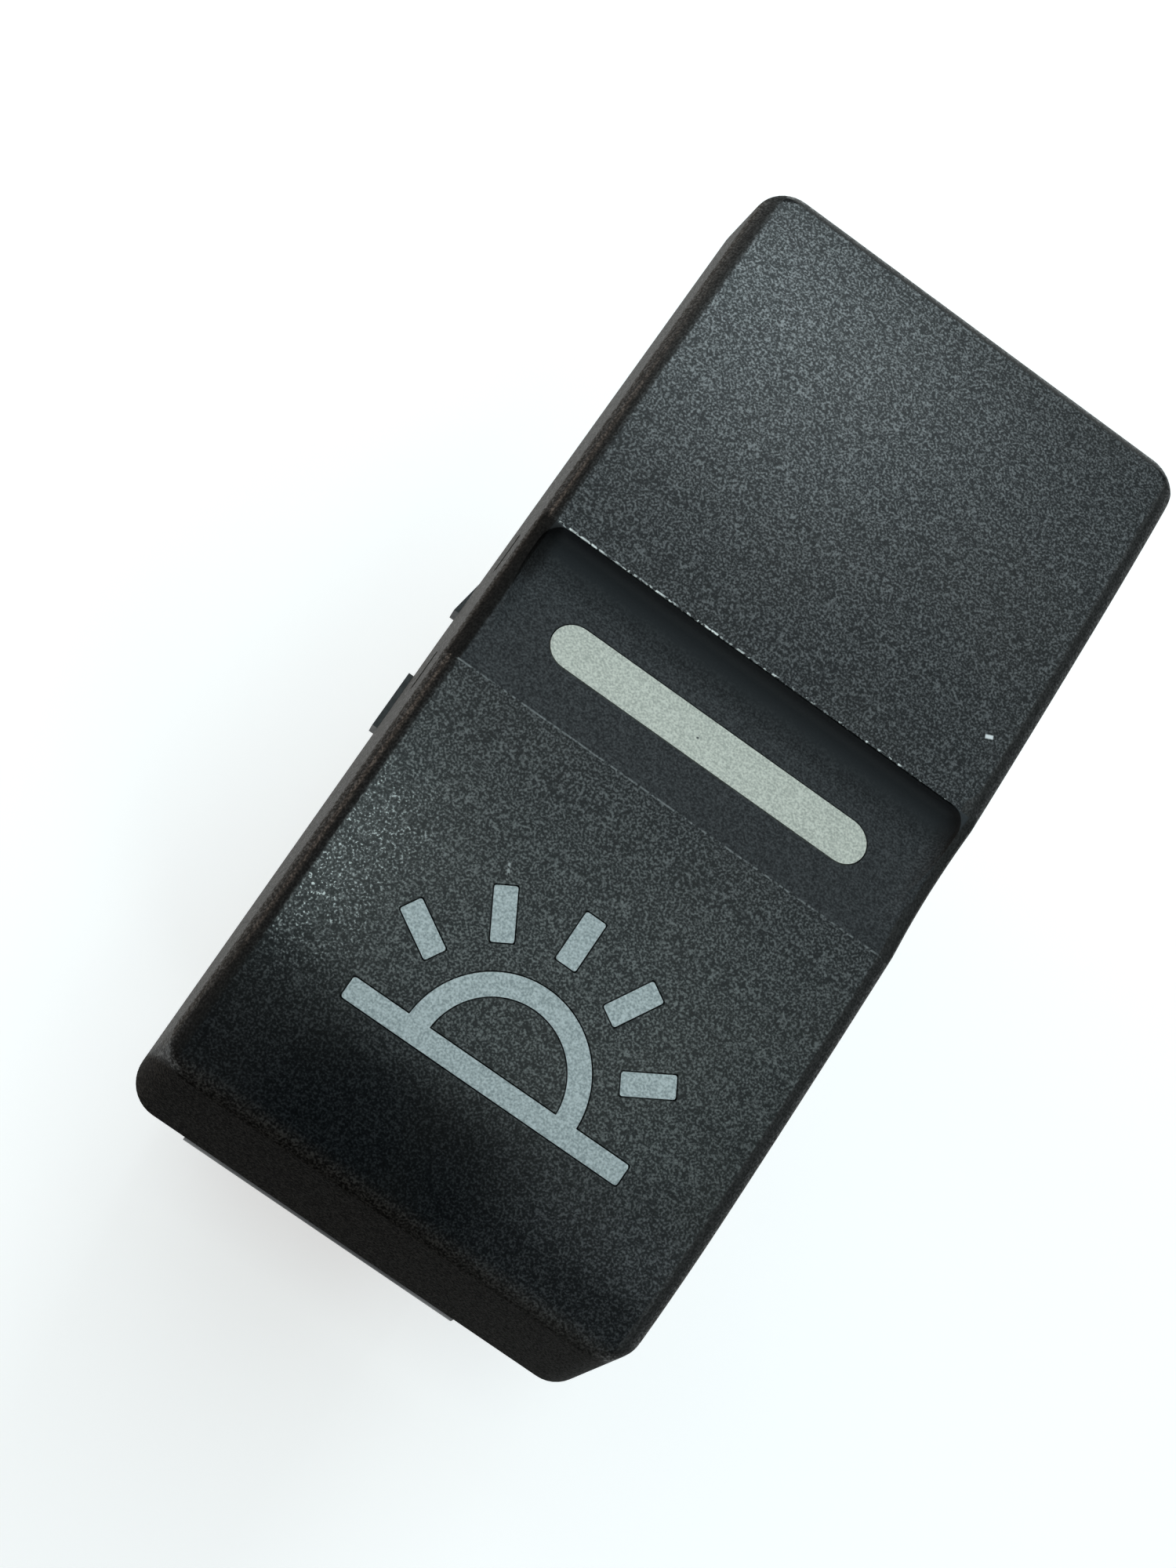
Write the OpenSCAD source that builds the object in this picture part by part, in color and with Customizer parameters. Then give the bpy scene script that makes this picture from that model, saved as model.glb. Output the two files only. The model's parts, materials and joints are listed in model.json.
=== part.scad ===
// Rocker light switch: a three-position changeover rocker with two lit windows.
// Millimetres. The origin is the middle of the panel seat, the underside of the flange.
// +Z points out of the panel, +Y towards the plain half of the rocker, +X across it.

/* [Rocker cap] */
// Width of the cap at its end rims
cap_width = 22.4; // [21.8:0.1:26]
// Length of the cap at its end rims
cap_length = 48.1; // [46:0.1:56]
// Height of the crown above the end rims
cap_height = 9.5; // [8.5:0.1:12]
// Radius of the crowned front, along the cap
crown_radius = 165; // [120:1:400]
// Distance from the pivot line at which the front starts to roll off
roll_start = 15; // [12:0.5:18]
// Roll-off radius towards the plain end
upper_roll_radius = 70; // [30:1:160]
// Roll-off radius towards the symbol end
lower_roll_radius = 30; // [24:1:160]
// Wall of the cap
cap_wall = 1.3; // [1:0.05:1.5]
// Lean of the long side walls, in degrees
side_draft = 2.5; // [1:0.5:4]
// Lean of the two end walls, in degrees
end_draft = 14; // [4:0.5:16]
// Corner radius of the cap, seen from the front
corner_radius = 1.6; // [1:0.1:2.4]
// Rounding of the front's long edges
side_edge_radius = 0.75; // [0.5:0.05:1.1]
// Rounding of the front's end edges
end_edge_radius = 0.4; // [0.3:0.05:0.9]

/* [Centre band] */
// Distance of the step from the pivot line
step_offset = 3.6; // [3.2:0.1:4.4]
// Distance of the crease from the pivot line
crease_offset = 3.3; // [3:0.1:4.2]
// Height of the step
step_height = 1.9; // [1.4:0.1:2.2]
// Rounding at the foot of the step
step_fillet = 1; // [0.4:0.1:1]
// Length of the light bar window
bar_length = 15.4; // [11:0.1:16.4]
// Width of the light bar window
bar_width = 2.15; // [1.5:0.05:2.4]

/* [Symbol light box] */
// Distance of the light box from the pivot line
light_box_offset = 12.6; // [11.6:0.1:13.4]
// Width of the light box
light_box_width = 15; // [10:0.1:16.4]
// Length of the light box
light_box_length = 9.6; // [7:0.1:10.6]
// Rib of the light box
light_box_rib = 0.9; // [0.6:0.1:1.2]
// Thickness of the symbol diffuser
diffuser_thickness = 1; // [0.6:0.1:1.5]

/* [Rocker pivot] */
// Tilt of the rocker to each side, in degrees
rocker_tilt = 8; // [5:0.5:9]
// Height of the pivot line above the panel
pivot_height = 4.2; // [3.9:0.1:4.8]
// Diameter of the pivot pins
pin_diameter = 2; // [1.6:0.1:2.4]
// Radial clearance of the carrier on its pins
pin_clearance = 0.05; // [0.02:0.01:0.09]
// Gap between the skirt and the flange at full tilt
skirt_gap = 0.6; // [0.4:0.1:1.2]

/* [Carrier] */
// Thickness of the carrier's deck
deck_thickness = 1.4; // [1:0.1:1.8]
// Length of the carrier's deck, along the rocker
deck_length = 12.4; // [11:0.1:12.8]
// Thickness of the pivot cheeks
cheek_thickness = 1.6; // [1.3:0.1:1.7]
// Radius of the pivot cheeks
cheek_radius = 2.8; // [2.2:0.1:3.2]
// Wall of the plunger tubes
tube_wall = 0.85; // [0.7:0.05:0.9]

/* [Plungers] */
// Diameter of the plungers
plunger_diameter = 2.8; // [2.4:0.1:3]
// Radial clearance of a plunger in its tube
plunger_clearance = 0.05; // [0.03:0.01:0.08]
// Length of a plunger, tip to shoulder
plunger_length = 6.6; // [6:0.1:7.4]
// Inward travel of a plunger
plunger_travel = 0.8; // [0.4:0.1:1]
// Wire diameter of the plunger springs
spring_wire = 0.36; // [0.28:0.02:0.4]
// Working turns of the plunger springs
spring_turns = 8; // [6:1:9]

/* [Contacts] */
// Distance of each pole from the middle of the switch
pole_offset = 4.4; // [4.3:0.05:4.5]
// Depth of the rocking line of the contact arms below the panel
saddle_depth = 5.8; // [5.4:0.1:6.4]
// Distance of the contacts from the rocking line
contact_reach = 8; // [7.4:0.1:8.4]
// Upward bend of the contact arms, in degrees
arm_rise = 6; // [4:0.5:7]
// Width of the contact arms
arm_width = 3.4; // [2.8:0.1:3.6]
// Thickness of the contact arms
arm_thickness = 0.6; // [0.4:0.05:0.8]
// Radius of the contact buttons
button_radius = 1.1; // [0.8:0.1:1.4]
// Height of the contact buttons
button_height = 0.5; // [0.3:0.05:0.7]

/* [Housing] */
// Inset of the housing's long sides from the cap's rim
body_inset = 1.5; // [1.4:0.05:1.6]
// Length of the housing behind the panel
body_length = 40.4; // [40:0.1:42]
// Depth of the housing behind the panel
body_depth = 22; // [21:0.5:28]
// Wall of the housing
body_wall = 1.4; // [1.2:0.05:1.5]
// Corner radius of the housing
body_corner = 1.6; // [1:0.1:2.5]
// Inset of the flange's long sides from the cap's rim
flange_inset = 0.6; // [0.3:0.1:0.9]
// Inset of the flange's ends from the cap's rim
flange_end_inset = 1; // [0.4:0.1:2]
// Thickness of the flange
flange_thickness = 1.6; // [1.2:0.1:1.8]
// Reach of the side lugs past the cap's rim
lug_proud = 0.4; // [0.2:0.05:0.8]

/* [Terminals] */
// Width of the blades
blade_width = 4.8; // [4:0.1:4.9]
// Thickness of the blades
blade_thickness = 0.8; // [0.5:0.1:0.9]
// Length of the blades below the base
blade_length = 9; // [7:0.5:12]
// Distance of the lamp blades from the pivot line
lamp_row = 15.8; // [15.2:0.1:16.4]
// Thickness of the terminal base
base_thickness = 3; // [2:0.1:4]
// Clearance of the base in the housing and of the blades in the base
base_clearance = 0.05; // [0.02:0.01:0.1]

/* [Lamp board] */
// Thickness of the lamp board
board_thickness = 1.2; // [0.8:0.1:1.6]
// Length of the lamp board
board_length = 35.6; // [34:0.1:36.4]
// Depth of the board's top edge below the panel
board_drop = 1; // [0.6:0.1:2]
// Width of a lamp
lamp_width = 2.6; // [2:0.1:2.8]

/* [Retaining clips] */
// Width of the spring clips
clip_width = 15.4; // [10:0.1:15.8]
// Thickness of the spring clips
clip_thickness = 0.5; // [0.3:0.05:0.6]
// Reach of the spring clips from the middle of the switch
clip_reach = 24.25; // [23.4:0.05:25]
// Depth of the widest point of the clips below the panel
clip_depth = 9; // [7:0.5:11]

/* [Hidden] */
$fn = 64;
hull_facets = 32;
eps = 0.01;
cut_over = 1;
LEFT = -1;
RIGHT = 1;
UPPER = 1;
LOWER = -1;

// Colours
cap_black = "#2c2f34";
moulding_black = "#1d1e20";
nylon_natural = "#d9d4c4";
lens_white = "#cfd8cf";
spring_steel = "#a9adb0";
brass_plate = "#c9a24b";
contact_silver = "#d8d8d4";
board_green = "#2f6b46";
lamp_clear = "#f2efdc";
resistor_black = "#26241f";

// Rocker heights
pivot_z = pivot_height;
apex_z = flange_thickness + skirt_gap;
rim_z = apex_z + cap_length / 2 * tan(rocker_tilt);
crown_z = rim_z + cap_height;
// Height of an arc of a given radius at a distance from its highest point
function arc_height(radius, y) = sqrt(radius * radius - y * y) - radius;
roll_angle = asin(roll_start / crown_radius);
roll_z = crown_z + arc_height(crown_radius, roll_start);
function roll_centre(radius) = roll_start - radius * sin(roll_angle);
function roll(radius, y) = roll_z + radius * (1 - cos(roll_angle)) + arc_height(radius, y - roll_centre(radius));
// Height of the front along the cap: a wide arc that rolls off tangentially at both ends
function crown(y) = abs(y) <= roll_start
    ? crown_z + arc_height(crown_radius, y)
    : roll(y > 0 ? upper_roll_radius : lower_roll_radius, abs(y));
function side_x(z) = cap_width / 2 - (z - rim_z) * tan(side_draft);
function end_y(z) = cap_length / 2 - (z - rim_z) * tan(end_draft);
function front_end_y(end) = end_y(crown(end * cap_length / 2));
crown_steps = 24;

// Centre band
crease_z = crown(-crease_offset);
foot_z = crown(step_offset) - step_height;
band_angle = atan((crease_z - foot_z) / (crease_offset + step_offset));
function band_z(y) = crease_z - (y + crease_offset) * tan(band_angle);
window_clearance = 0.05;
lens_lip = 0.6;
lens_lip_thickness = 0.7;

// Light box below the symbol
light_box_depth = 1;
light_box_floor = crown(-light_box_offset - light_box_length / 2) - cap_wall - light_box_depth;

// Housing section
body_width = cap_width - 2 * body_inset;
flange_width = cap_width - 2 * flange_inset;
flange_length = cap_length - 2 * flange_end_inset;
lug_reach = cap_width / 2 + lug_proud;
inner_x = body_width / 2 - body_wall;
inner_y = body_length / 2 - body_wall;
ledge = body_wall / 3;
base_top = -body_depth + base_thickness;
base_half_width = body_width / 2 - body_wall + ledge - base_clearance;
base_half_length = body_length / 2 - body_wall + ledge - base_clearance;
latch_width = 5;
latch_height = 0.8;
latch_catch = 0.35;
latch_gap = 0.2;
tower_thickness = 1.3;
tower_radius = 2.6;
running_gap = 0.25;
rib_row = 13;
rib_width = 1.2;
rib_height = 0.3;
rib_length = 15;
rib_lead = 2.5;
panel_depth = 0.4;
panel_margin = 4;
panel_top = 4;
panel_rise = 1;
panel_bottom = body_depth - base_thickness - panel_rise;
lug_root = 1;
lug_near = 1.8;
lug_far = 4.7;
lug_taper = 0.45;

// Carrier
boss_height = 0.9;
deck_top = foot_z - cap_wall / cos(band_angle) - boss_height;
deck_bottom = deck_top - deck_thickness;
deck_gap = 0.4;
deck_half_width = side_x(deck_top) - cap_wall - deck_gap;
cheek_outer_x = inner_x - running_gap;
cheek_inner_x = cheek_outer_x - cheek_thickness;
boss_size = 1.8;
deck_corner = 1;
light_gap_wall = 0.3;
hook_depth = 1.1;
hook_catch = 0.4;
hook_gap = 0.05;

// Plungers and their springs
tip_gap = 0.05;
tip_stand = 1.8;
bore_sink = 0.3;
nub_length = 2;
spring_gap = 0.2;
spring_seat_gap = 0.02;

// Contact set
saddle_z = -saddle_depth;
arm_top_z = saddle_z + arm_thickness / cos(arm_rise);
plunger_radius = plunger_diameter / 2;
tip_z = arm_top_z + tip_gap + plunger_radius * (1 / cos(arm_rise) - 1);
shoulder_z = tip_z + plunger_length;
bore_radius = plunger_radius + plunger_clearance;
tube_radius = bore_radius + tube_wall;
tube_bottom = tip_z + plunger_radius + plunger_travel + tip_stand;
bore_top = deck_bottom + bore_sink;
bead_radius = 0.5;
bead_clearance = 0.08;
saddle_drop = 0.25;
saddle_height = 2.2;
saddle_half = 1.2;
ear_gap = 0.25;
ear_thickness = 0.5;
ear_rise = 0.9;
arm_margin = 0.3;
arm_half_length = contact_reach + button_radius + arm_margin;
contact_gap = 0.08;
fixed_top = saddle_z - button_height - contact_gap;
foot_top = fixed_top - button_height;
foot_thickness = blade_thickness;
foot_margin = 1.1;
foot_half = button_radius + foot_margin;
blade_row = contact_reach + foot_half - blade_thickness / 2;
blade_tip = -body_depth - blade_length;
blade_chamfer = 0.9;
lock_hole_radius = 0.65;
lock_hole_rise = 3.2;
lamp_tab_rise = 4;
lamp_tab_top = base_top + lamp_tab_rise;
lamp_tab_height = 2;

// Lamp board
board_top = -board_drop;
board_groove = 0.8;
board_chamfer = 2;
lamp_height = 1.3;
lamp_length = 3.2;
lamp_dome = 0.95;
symbol_lamp_y = -light_box_offset;
resistor_size = [0.55, 2, 1.25];
resistor_row = 4.6;

// Spring clips and their rails
clip_y = body_length / 2 + clip_thickness / 2;
clip_foot_rise = 3.4;
clip_foot_length = 2.8;
clip_foot = -body_depth + clip_foot_rise;
clip_root = clip_foot + clip_foot_length;
clip_tip_depth = 3;
clip_tip_gap = 1.2;
clip_bend = 1;
bend_steps = 6;
rail_width = 1;
rail_lip = 0.9;
rail_depth = 1.1;
rail_gap = 0.1;

// A profile drawn in the Y-Z plane, extruded across the switch
module across(width) {
    rotate([90, 0, 90]) linear_extrude(width, center = true) children();
}

// A profile drawn in the X-Z plane, extruded along the switch
module along(length) {
    rotate([90, 0, 0]) linear_extrude(length, center = true) children();
}

// A rectangle with round corners
module rounded_plate(width, length, radius) {
    square([width - 2 * radius, length], center = true);
    square([width, length - 2 * radius], center = true);
    for (sx = [-1, 1], sy = [-1, 1])
        translate([sx * (width / 2 - radius), sy * (length / 2 - radius)]) circle(radius);
}

// A slot with round ends, lying across the switch
module stadium(length, width) {
    square([length - width, width], center = true);
    for (sx = [-1, 1]) translate([sx * (length - width) / 2, 0]) circle(width / 2);
}

// A line of points with its corners rounded
function unit(v) = v / norm(v);
function turned(v, a) = [v[0] * cos(a) - v[1] * sin(a), v[0] * sin(a) + v[1] * cos(a)];
function bend(a, b, c, radius) =
    let (
        into = unit(b - a),
        out = unit(c - b),
        turn = atan2(into[0] * out[1] - into[1] * out[0], into * out),
        start = b - into * radius * tan(abs(turn) / 2),
        centre = start + radius * sign(turn) * turned(into, 90)
    )
    [for (i = [0 : bend_steps]) centre + turned(start - centre, turn * i / bend_steps)];
function rounded_line(points, radius) = concat(
    [points[0]],
    [for (i = [1 : len(points) - 2]) each bend(points[i - 1], points[i], points[i + 1], radius)],
    [points[len(points) - 1]]
);

// The section of a bent strip of even thickness along a line of points
module bent_strip(points, thickness, radius) {
    line = rounded_line(points, radius);
    last = len(line) - 1;
    normals = [for (i = [0 : last])
        let (
            into = unit(line[max(i, 1)] - line[max(i - 1, 0)]),
            out = unit(line[min(i + 1, last)] - line[min(i, last - 1)])
        )
        turned(into + out, 90) / (1 + into * out)];
    polygon(concat(
        [for (i = [0 : last]) line[i] + normals[i] * thickness / 2],
        [for (i = [last : -1 : 0]) line[i] - normals[i] * thickness / 2]
    ));
}

// The crowned, drafted block that both the cap's outside and its hollow are made from
module crowned_block(inset, corner, side_edge, end_edge) {
    hull() {
        for (sx = [-1, 1]) {
            for (i = [0 : crown_steps]) {
                low = -front_end_y(LOWER) + inset + corner;
                high = front_end_y(UPPER) - inset - corner;
                y = low + (high - low) * i / crown_steps;
                z = crown(y) - inset;
                translate([sx * (side_x(z) - inset - side_edge), y, z - side_edge])
                    sphere(side_edge, $fn = hull_facets);
            }
            for (end = [UPPER, LOWER]) {
                y = end * (front_end_y(end) - inset - corner);
                z = crown(end * front_end_y(end)) - inset;
                translate([sx * (side_x(z) - inset - corner), y, z - end_edge])
                    rotate_extrude($fn = hull_facets)
                        translate([corner - end_edge, 0]) circle(end_edge, $fn = hull_facets);
                translate([
                    sx * (side_x(apex_z) - inset - corner),
                    end * (end_y(apex_z) - inset - corner),
                    apex_z
                ]) cylinder(r = corner, h = eps, $fn = hull_facets);
            }
        }
    }
}

// Everything above the skirt's edge, which rises from the pivot to both ends
module above_skirt_edge() {
    far = cap_length;
    rise = far * tan(rocker_tilt);
    across(2 * cap_width) polygon([
        [0, apex_z], [far, apex_z + rise], [far, crown_z + rise],
        [-far, crown_z + rise], [-far, apex_z + rise]
    ]);
}

// The recess between the crease and the step, with a rounded foot
module band_recess() {
    foot_y = step_offset - step_fillet;
    foot_centre = [foot_y, band_z(foot_y) + step_fillet / cos(band_angle)];
    arc_steps = 8;
    arc = [for (i = [0 : arc_steps])
        let (a = 270 - band_angle + i * (90 + band_angle) / arc_steps)
        foot_centre + step_fillet * [cos(a), sin(a)]];
    across(2 * cap_width) polygon(concat(
        [[-crease_offset, crown_z + cut_over], [-crease_offset, crease_z]],
        arc, [[step_offset, crown_z + cut_over]]
    ));
}

// The wall that carries the band inside the cap
module band_backing() {
    drop = cap_wall / cos(band_angle);
    across(2 * cap_width) polygon([
        [-crease_offset, crown_z], [-crease_offset, crease_z - drop],
        [step_offset, foot_z - drop], [step_offset + cap_wall, foot_z - drop],
        [step_offset + cap_wall, crown_z]
    ]);
}

// The frame of the light bar window: its own Z is square to the band
module at_band() {
    translate([0, 0, band_z(0)]) rotate([-band_angle, 0, 0]) children();
}

// Rib frame round the symbol, open towards the front wall
module light_box() {
    translate([0, -light_box_offset, light_box_floor]) linear_extrude(cap_height) difference() {
        square([light_box_width + 2 * light_box_rib, light_box_length + 2 * light_box_rib], center = true);
        square([light_box_width, light_box_length], center = true);
    }
}

// Bosses that stand on the carrier's deck
module deck_bosses() {
    boss_x = deck_half_width - boss_size;
    boss_y = deck_length / 2 - boss_size / 2;
    for (sx = [-1, 1], sy = [-1, 1])
        translate([sx * boss_x, sy * boss_y, deck_top + cap_height / 2])
            cube([boss_size, boss_size, cap_height], center = true);
}

// Hooks on the side walls that catch under the deck
module deck_hooks() {
    hook_inner = deck_half_width - hook_catch;
    for (sx = [-1, 1], sy = [-1, 1])
        translate([sx * hook_inner, sy * deck_length / 4, deck_bottom - hook_gap])
            along(boss_size) polygon([[0, 0], [sx * cap_wall * 2, 0], [sx * cap_wall * 2, -2 * hook_depth],
                [sx * hook_catch * 2, -2 * hook_depth], [0, -hook_depth / 2]]);
}

module rocker_cap() {
    color(cap_black) difference() {
        intersection() {
            crowned_block(0, corner_radius, side_edge_radius, end_edge_radius);
            above_skirt_edge();
        }
        difference() {
            crowned_block(cap_wall, corner_radius / 2, side_edge_radius / 2, end_edge_radius / 2);
            band_backing();
            light_box();
            deck_bosses();
            deck_hooks();
        }
        band_recess();
        at_band() linear_extrude(4 * cap_wall, center = true) stadium(bar_length, bar_width);
    }
}

module indicator_lens() {
    color(lens_white) at_band() {
        translate([0, 0, -cap_wall])
            linear_extrude(cap_wall)
                stadium(bar_length - 2 * window_clearance, bar_width - 2 * window_clearance);
        translate([0, 0, -cap_wall - lens_lip_thickness])
            linear_extrude(lens_lip_thickness)
                stadium(bar_length + 2 * lens_lip, bar_width + 2 * lens_lip);
    }
}

module symbol_diffuser() {
    color(lens_white) translate([0, -light_box_offset, light_box_floor - diffuser_thickness])
        linear_extrude(diffuser_thickness)
            rounded_plate(light_box_width + 2 * light_box_rib, light_box_length + 2 * light_box_rib, light_box_rib);
}

module rocker_carrier() {
    light_gap = 2 * (pole_offset - tube_radius - light_gap_wall);
    light_gap_length = deck_length - 2 * boss_size;
    color(nylon_natural) difference() {
        union() {
            translate([0, 0, deck_bottom]) linear_extrude(deck_thickness) difference() {
                rounded_plate(2 * deck_half_width, deck_length, deck_corner);
                square([light_gap, light_gap_length], center = true);
            }
            for (side = [LEFT, RIGHT]) {
                translate([side * (cheek_inner_x + cheek_outer_x) / 2, 0, 0]) across(cheek_thickness) {
                    translate([0, pivot_z]) circle(cheek_radius);
                    translate([-cheek_radius, pivot_z]) square([2 * cheek_radius, deck_bottom - pivot_z + eps]);
                }
                translate([side * pole_offset, 0, tube_bottom])
                    cylinder(r = tube_radius, h = deck_bottom - tube_bottom + eps);
            }
        }
        for (side = [LEFT, RIGHT]) {
            translate([side * pole_offset, 0, tube_bottom - eps])
                cylinder(r = bore_radius, h = bore_top - tube_bottom + eps);
            translate([side * (cheek_inner_x + cheek_outer_x + cut_over) / 2, 0, pivot_z]) rotate([0, 90, 0])
                cylinder(d = pin_diameter + 2 * pin_clearance, h = cheek_thickness + cut_over, center = true);
        }
    }
}

module pivot_pin(side) {
    pin_inner = cheek_inner_x + pin_clearance;
    pin_outer = inner_x + tower_thickness;
    color(spring_steel) translate([side * (pin_inner + pin_outer) / 2, 0, pivot_z]) rotate([0, 90, 0])
        cylinder(d = pin_diameter, h = pin_outer - pin_inner, center = true);
}

module plunger(side) {
    nub_radius = spring_radius() - spring_wire;
    color(nylon_natural) translate([side * pole_offset, 0, 0]) {
        translate([0, 0, tip_z + plunger_radius]) sphere(plunger_radius);
        translate([0, 0, tip_z + plunger_radius])
            cylinder(r = plunger_radius, h = shoulder_z - tip_z - plunger_radius);
        translate([0, 0, shoulder_z - eps]) cylinder(r = nub_radius, h = nub_length);
    }
}

// Mean radius of a plunger spring
function spring_radius() = plunger_radius - spring_wire / 2 - spring_gap;

module plunger_spring(side) {
    sides = 6;
    rings_per_turn = 12;
    rings = spring_turns * rings_per_turn;
    low = shoulder_z + spring_wire / 2 + spring_seat_gap;
    high = bore_top - spring_wire / 2 - spring_seat_gap;
    points = [for (i = [0 : rings], j = [0 : sides - 1])
        let (turn = 360 * i / rings_per_turn, around = 360 * j / sides,
            reach = spring_radius() + spring_wire / 2 * cos(around))
        [reach * cos(turn), reach * sin(turn), low + (high - low) * i / rings + spring_wire / 2 * sin(around)]];
    walls = [for (i = [0 : rings - 1], j = [0 : sides - 1])
        let (k = (j + 1) % sides)
        [i * sides + j, i * sides + k, (i + 1) * sides + k, (i + 1) * sides + j]];
    first_cap = [for (j = [sides - 1 : -1 : 0]) j];
    last_cap = [for (j = [0 : sides - 1]) rings * sides + j];
    color(spring_steel) translate([side * pole_offset, 0, 0])
        polyhedron(points, concat(walls, [first_cap, last_cap]));
}

module contact_arm(side) {
    rise = arm_half_length * tan(arm_rise);
    thick = arm_thickness / cos(arm_rise);
    color(brass_plate) translate([side * pole_offset, 0, 0]) {
        intersection() {
            across(arm_width) polygon([
                [0, saddle_z], [arm_half_length, saddle_z + rise], [arm_half_length, saddle_z + rise + thick],
                [0, saddle_z + thick], [-arm_half_length, saddle_z + rise + thick], [-arm_half_length, saddle_z + rise]
            ]);
            translate([0, 0, saddle_z - cut_over]) linear_extrude(rise + thick + 2 * cut_over)
                rounded_plate(arm_width, 2 * arm_half_length, arm_width / 4);
        }
        across(arm_width) difference() {
            translate([0, saddle_z]) circle(bead_radius);
            translate([-bead_radius, saddle_z + arm_thickness / 2]) square(2 * bead_radius);
        }
    }
}

module moving_contacts(side) {
    color(contact_silver) for (end = [UPPER, LOWER])
        translate([side * pole_offset, 0, saddle_z]) rotate([end * arm_rise, 0, 0])
            translate([0, end * contact_reach, -button_height]) cylinder(r = button_radius, h = button_height);
}

module fixed_contacts() {
    color(contact_silver) for (side = [LEFT, RIGHT], end = [UPPER, LOWER])
        translate([side * pole_offset, end * contact_reach, foot_top])
            cylinder(r = button_radius, h = button_height);
}

// A flat blade, tip down, from the base up to a given height
module blade(top) {
    half = blade_width / 2;
    along(blade_thickness) difference() {
        polygon([
            [-half, top], [half, top], [half, blade_tip + blade_chamfer], [half - blade_chamfer, blade_tip],
            [blade_chamfer - half, blade_tip], [-half, blade_tip + blade_chamfer]
        ]);
        translate([0, blade_tip + lock_hole_rise]) circle(lock_hole_radius);
    }
}

module common_terminal(side) {
    saddle_width = arm_width + 2 * (ear_gap + ear_thickness);
    saddle_top = saddle_z - saddle_drop;
    color(brass_plate) translate([side * pole_offset, 0, 0]) {
        blade(saddle_top - saddle_height + eps);
        across(saddle_width) difference() {
            translate([-saddle_half, saddle_top - saddle_height]) square([2 * saddle_half, saddle_height]);
            translate([0, saddle_z]) circle(bead_radius + bead_clearance);
        }
        for (sx = [-1, 1]) translate([sx * (saddle_width - ear_thickness) / 2, 0, 0]) across(ear_thickness)
            translate([-saddle_half, saddle_top - saddle_height])
                square([2 * saddle_half, saddle_height + saddle_drop + ear_rise]);
    }
}

module side_terminal(side, end) {
    color(brass_plate) translate([side * pole_offset, 0, 0]) {
        translate([0, end * blade_row, 0]) blade(foot_top);
        translate([0, end * contact_reach, foot_top - foot_thickness / 2])
            cube([blade_width, 2 * foot_half, foot_thickness], center = true);
    }
}

module lamp_terminal(side, end) {
    tab_inner = board_thickness / 2;
    tab_outer = pole_offset - blade_width / 2 + eps;
    color(brass_plate) translate([0, end * lamp_row, 0]) {
        translate([side * pole_offset, 0, 0]) blade(lamp_tab_top);
        translate([side * (tab_inner + tab_outer) / 2, 0, lamp_tab_top - lamp_tab_height / 2])
            cube([tab_outer - tab_inner, blade_thickness, lamp_tab_height], center = true);
    }
}

// Snap bumps at the ends of the base, and their windows in the housing
module base_latches(grow, reach) {
    for (end = [UPPER, LOWER])
        translate([0, end * (base_half_length + reach / 2 - eps), base_top - base_thickness / 2])
            cube([latch_width + 2 * grow, reach + 2 * eps, latch_height + 2 * grow], center = true);
}

// Pillars of the base that the contact terminals stand on
module base_pillars() {
    for (side = [LEFT, RIGHT]) translate([side * pole_offset, 0, base_top - eps]) {
        for (end = [UPPER, LOWER]) {
            pillar_inner = contact_reach - foot_half;
            pillar_outer = blade_row - blade_thickness / 2 - base_clearance;
            translate([-blade_width / 2, end > 0 ? pillar_inner : -pillar_outer, 0])
                cube([blade_width, pillar_outer - pillar_inner, foot_top - foot_thickness - base_top + eps]);
        }
        translate([-blade_width / 2, -saddle_half, 0])
            cube([blade_width, 2 * saddle_half, saddle_z - saddle_drop - saddle_height - base_top + eps]);
    }
}

module terminal_base() {
    rows = [-lamp_row, -blade_row, 0, blade_row, lamp_row];
    color(moulding_black) difference() {
        union() {
            translate([0, 0, -body_depth]) linear_extrude(base_thickness)
                rounded_plate(2 * base_half_width, 2 * base_half_length, body_corner / 2);
            base_latches(0, base_clearance + latch_catch);
            base_pillars();
        }
        for (side = [LEFT, RIGHT], row = rows)
            translate([side * pole_offset, row, -body_depth / 2])
                cube([blade_width + 2 * base_clearance, blade_thickness + 2 * base_clearance, 2 * body_depth],
                    center = true);
        translate([0, 0, base_top])
            cube([board_thickness + 2 * base_clearance, board_length + 2 * base_clearance, 2 * board_groove],
                center = true);
    }
}

// Side lugs beside the pivot: the upper one tapers, the lower one is square
module flange_lugs() {
    inner = flange_width / 2 - lug_root;
    near = lug_near;
    far = lug_far;
    for (side = [LEFT, RIGHT]) linear_extrude(flange_thickness) {
        polygon([
            [side * inner, near], [side * lug_reach, near],
            [side * (lug_reach - lug_taper), far], [side * inner, far]
        ]);
        polygon([
            [side * inner, -near], [side * lug_reach, -near],
            [side * lug_reach, -far], [side * inner, -far]
        ]);
    }
}

// Upright ribs that steady the long sides in the panel's opening, with a lead-in at their foot
module fit_ribs() {
    wall_x = body_width / 2;
    foot = -rib_length;
    for (side = [LEFT, RIGHT], row = [-rib_row, rib_row])
        translate([0, row, 0]) along(rib_width) polygon([
            [side * (wall_x - eps), 0], [side * (wall_x + rib_height), 0],
            [side * (wall_x + rib_height), foot + rib_lead], [side * (wall_x - eps), foot]
        ]);
}

// Shallow cored panels in the long sides, between the ribs
module side_panels() {
    for (side = [LEFT, RIGHT])
        translate([side * body_width / 2, 0, -(panel_top + panel_bottom) / 2]) rotate([90, 0, 90])
            linear_extrude(2 * panel_depth, center = true)
                rounded_plate(2 * rib_row - panel_margin, panel_bottom - panel_top, body_corner);
}

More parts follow.
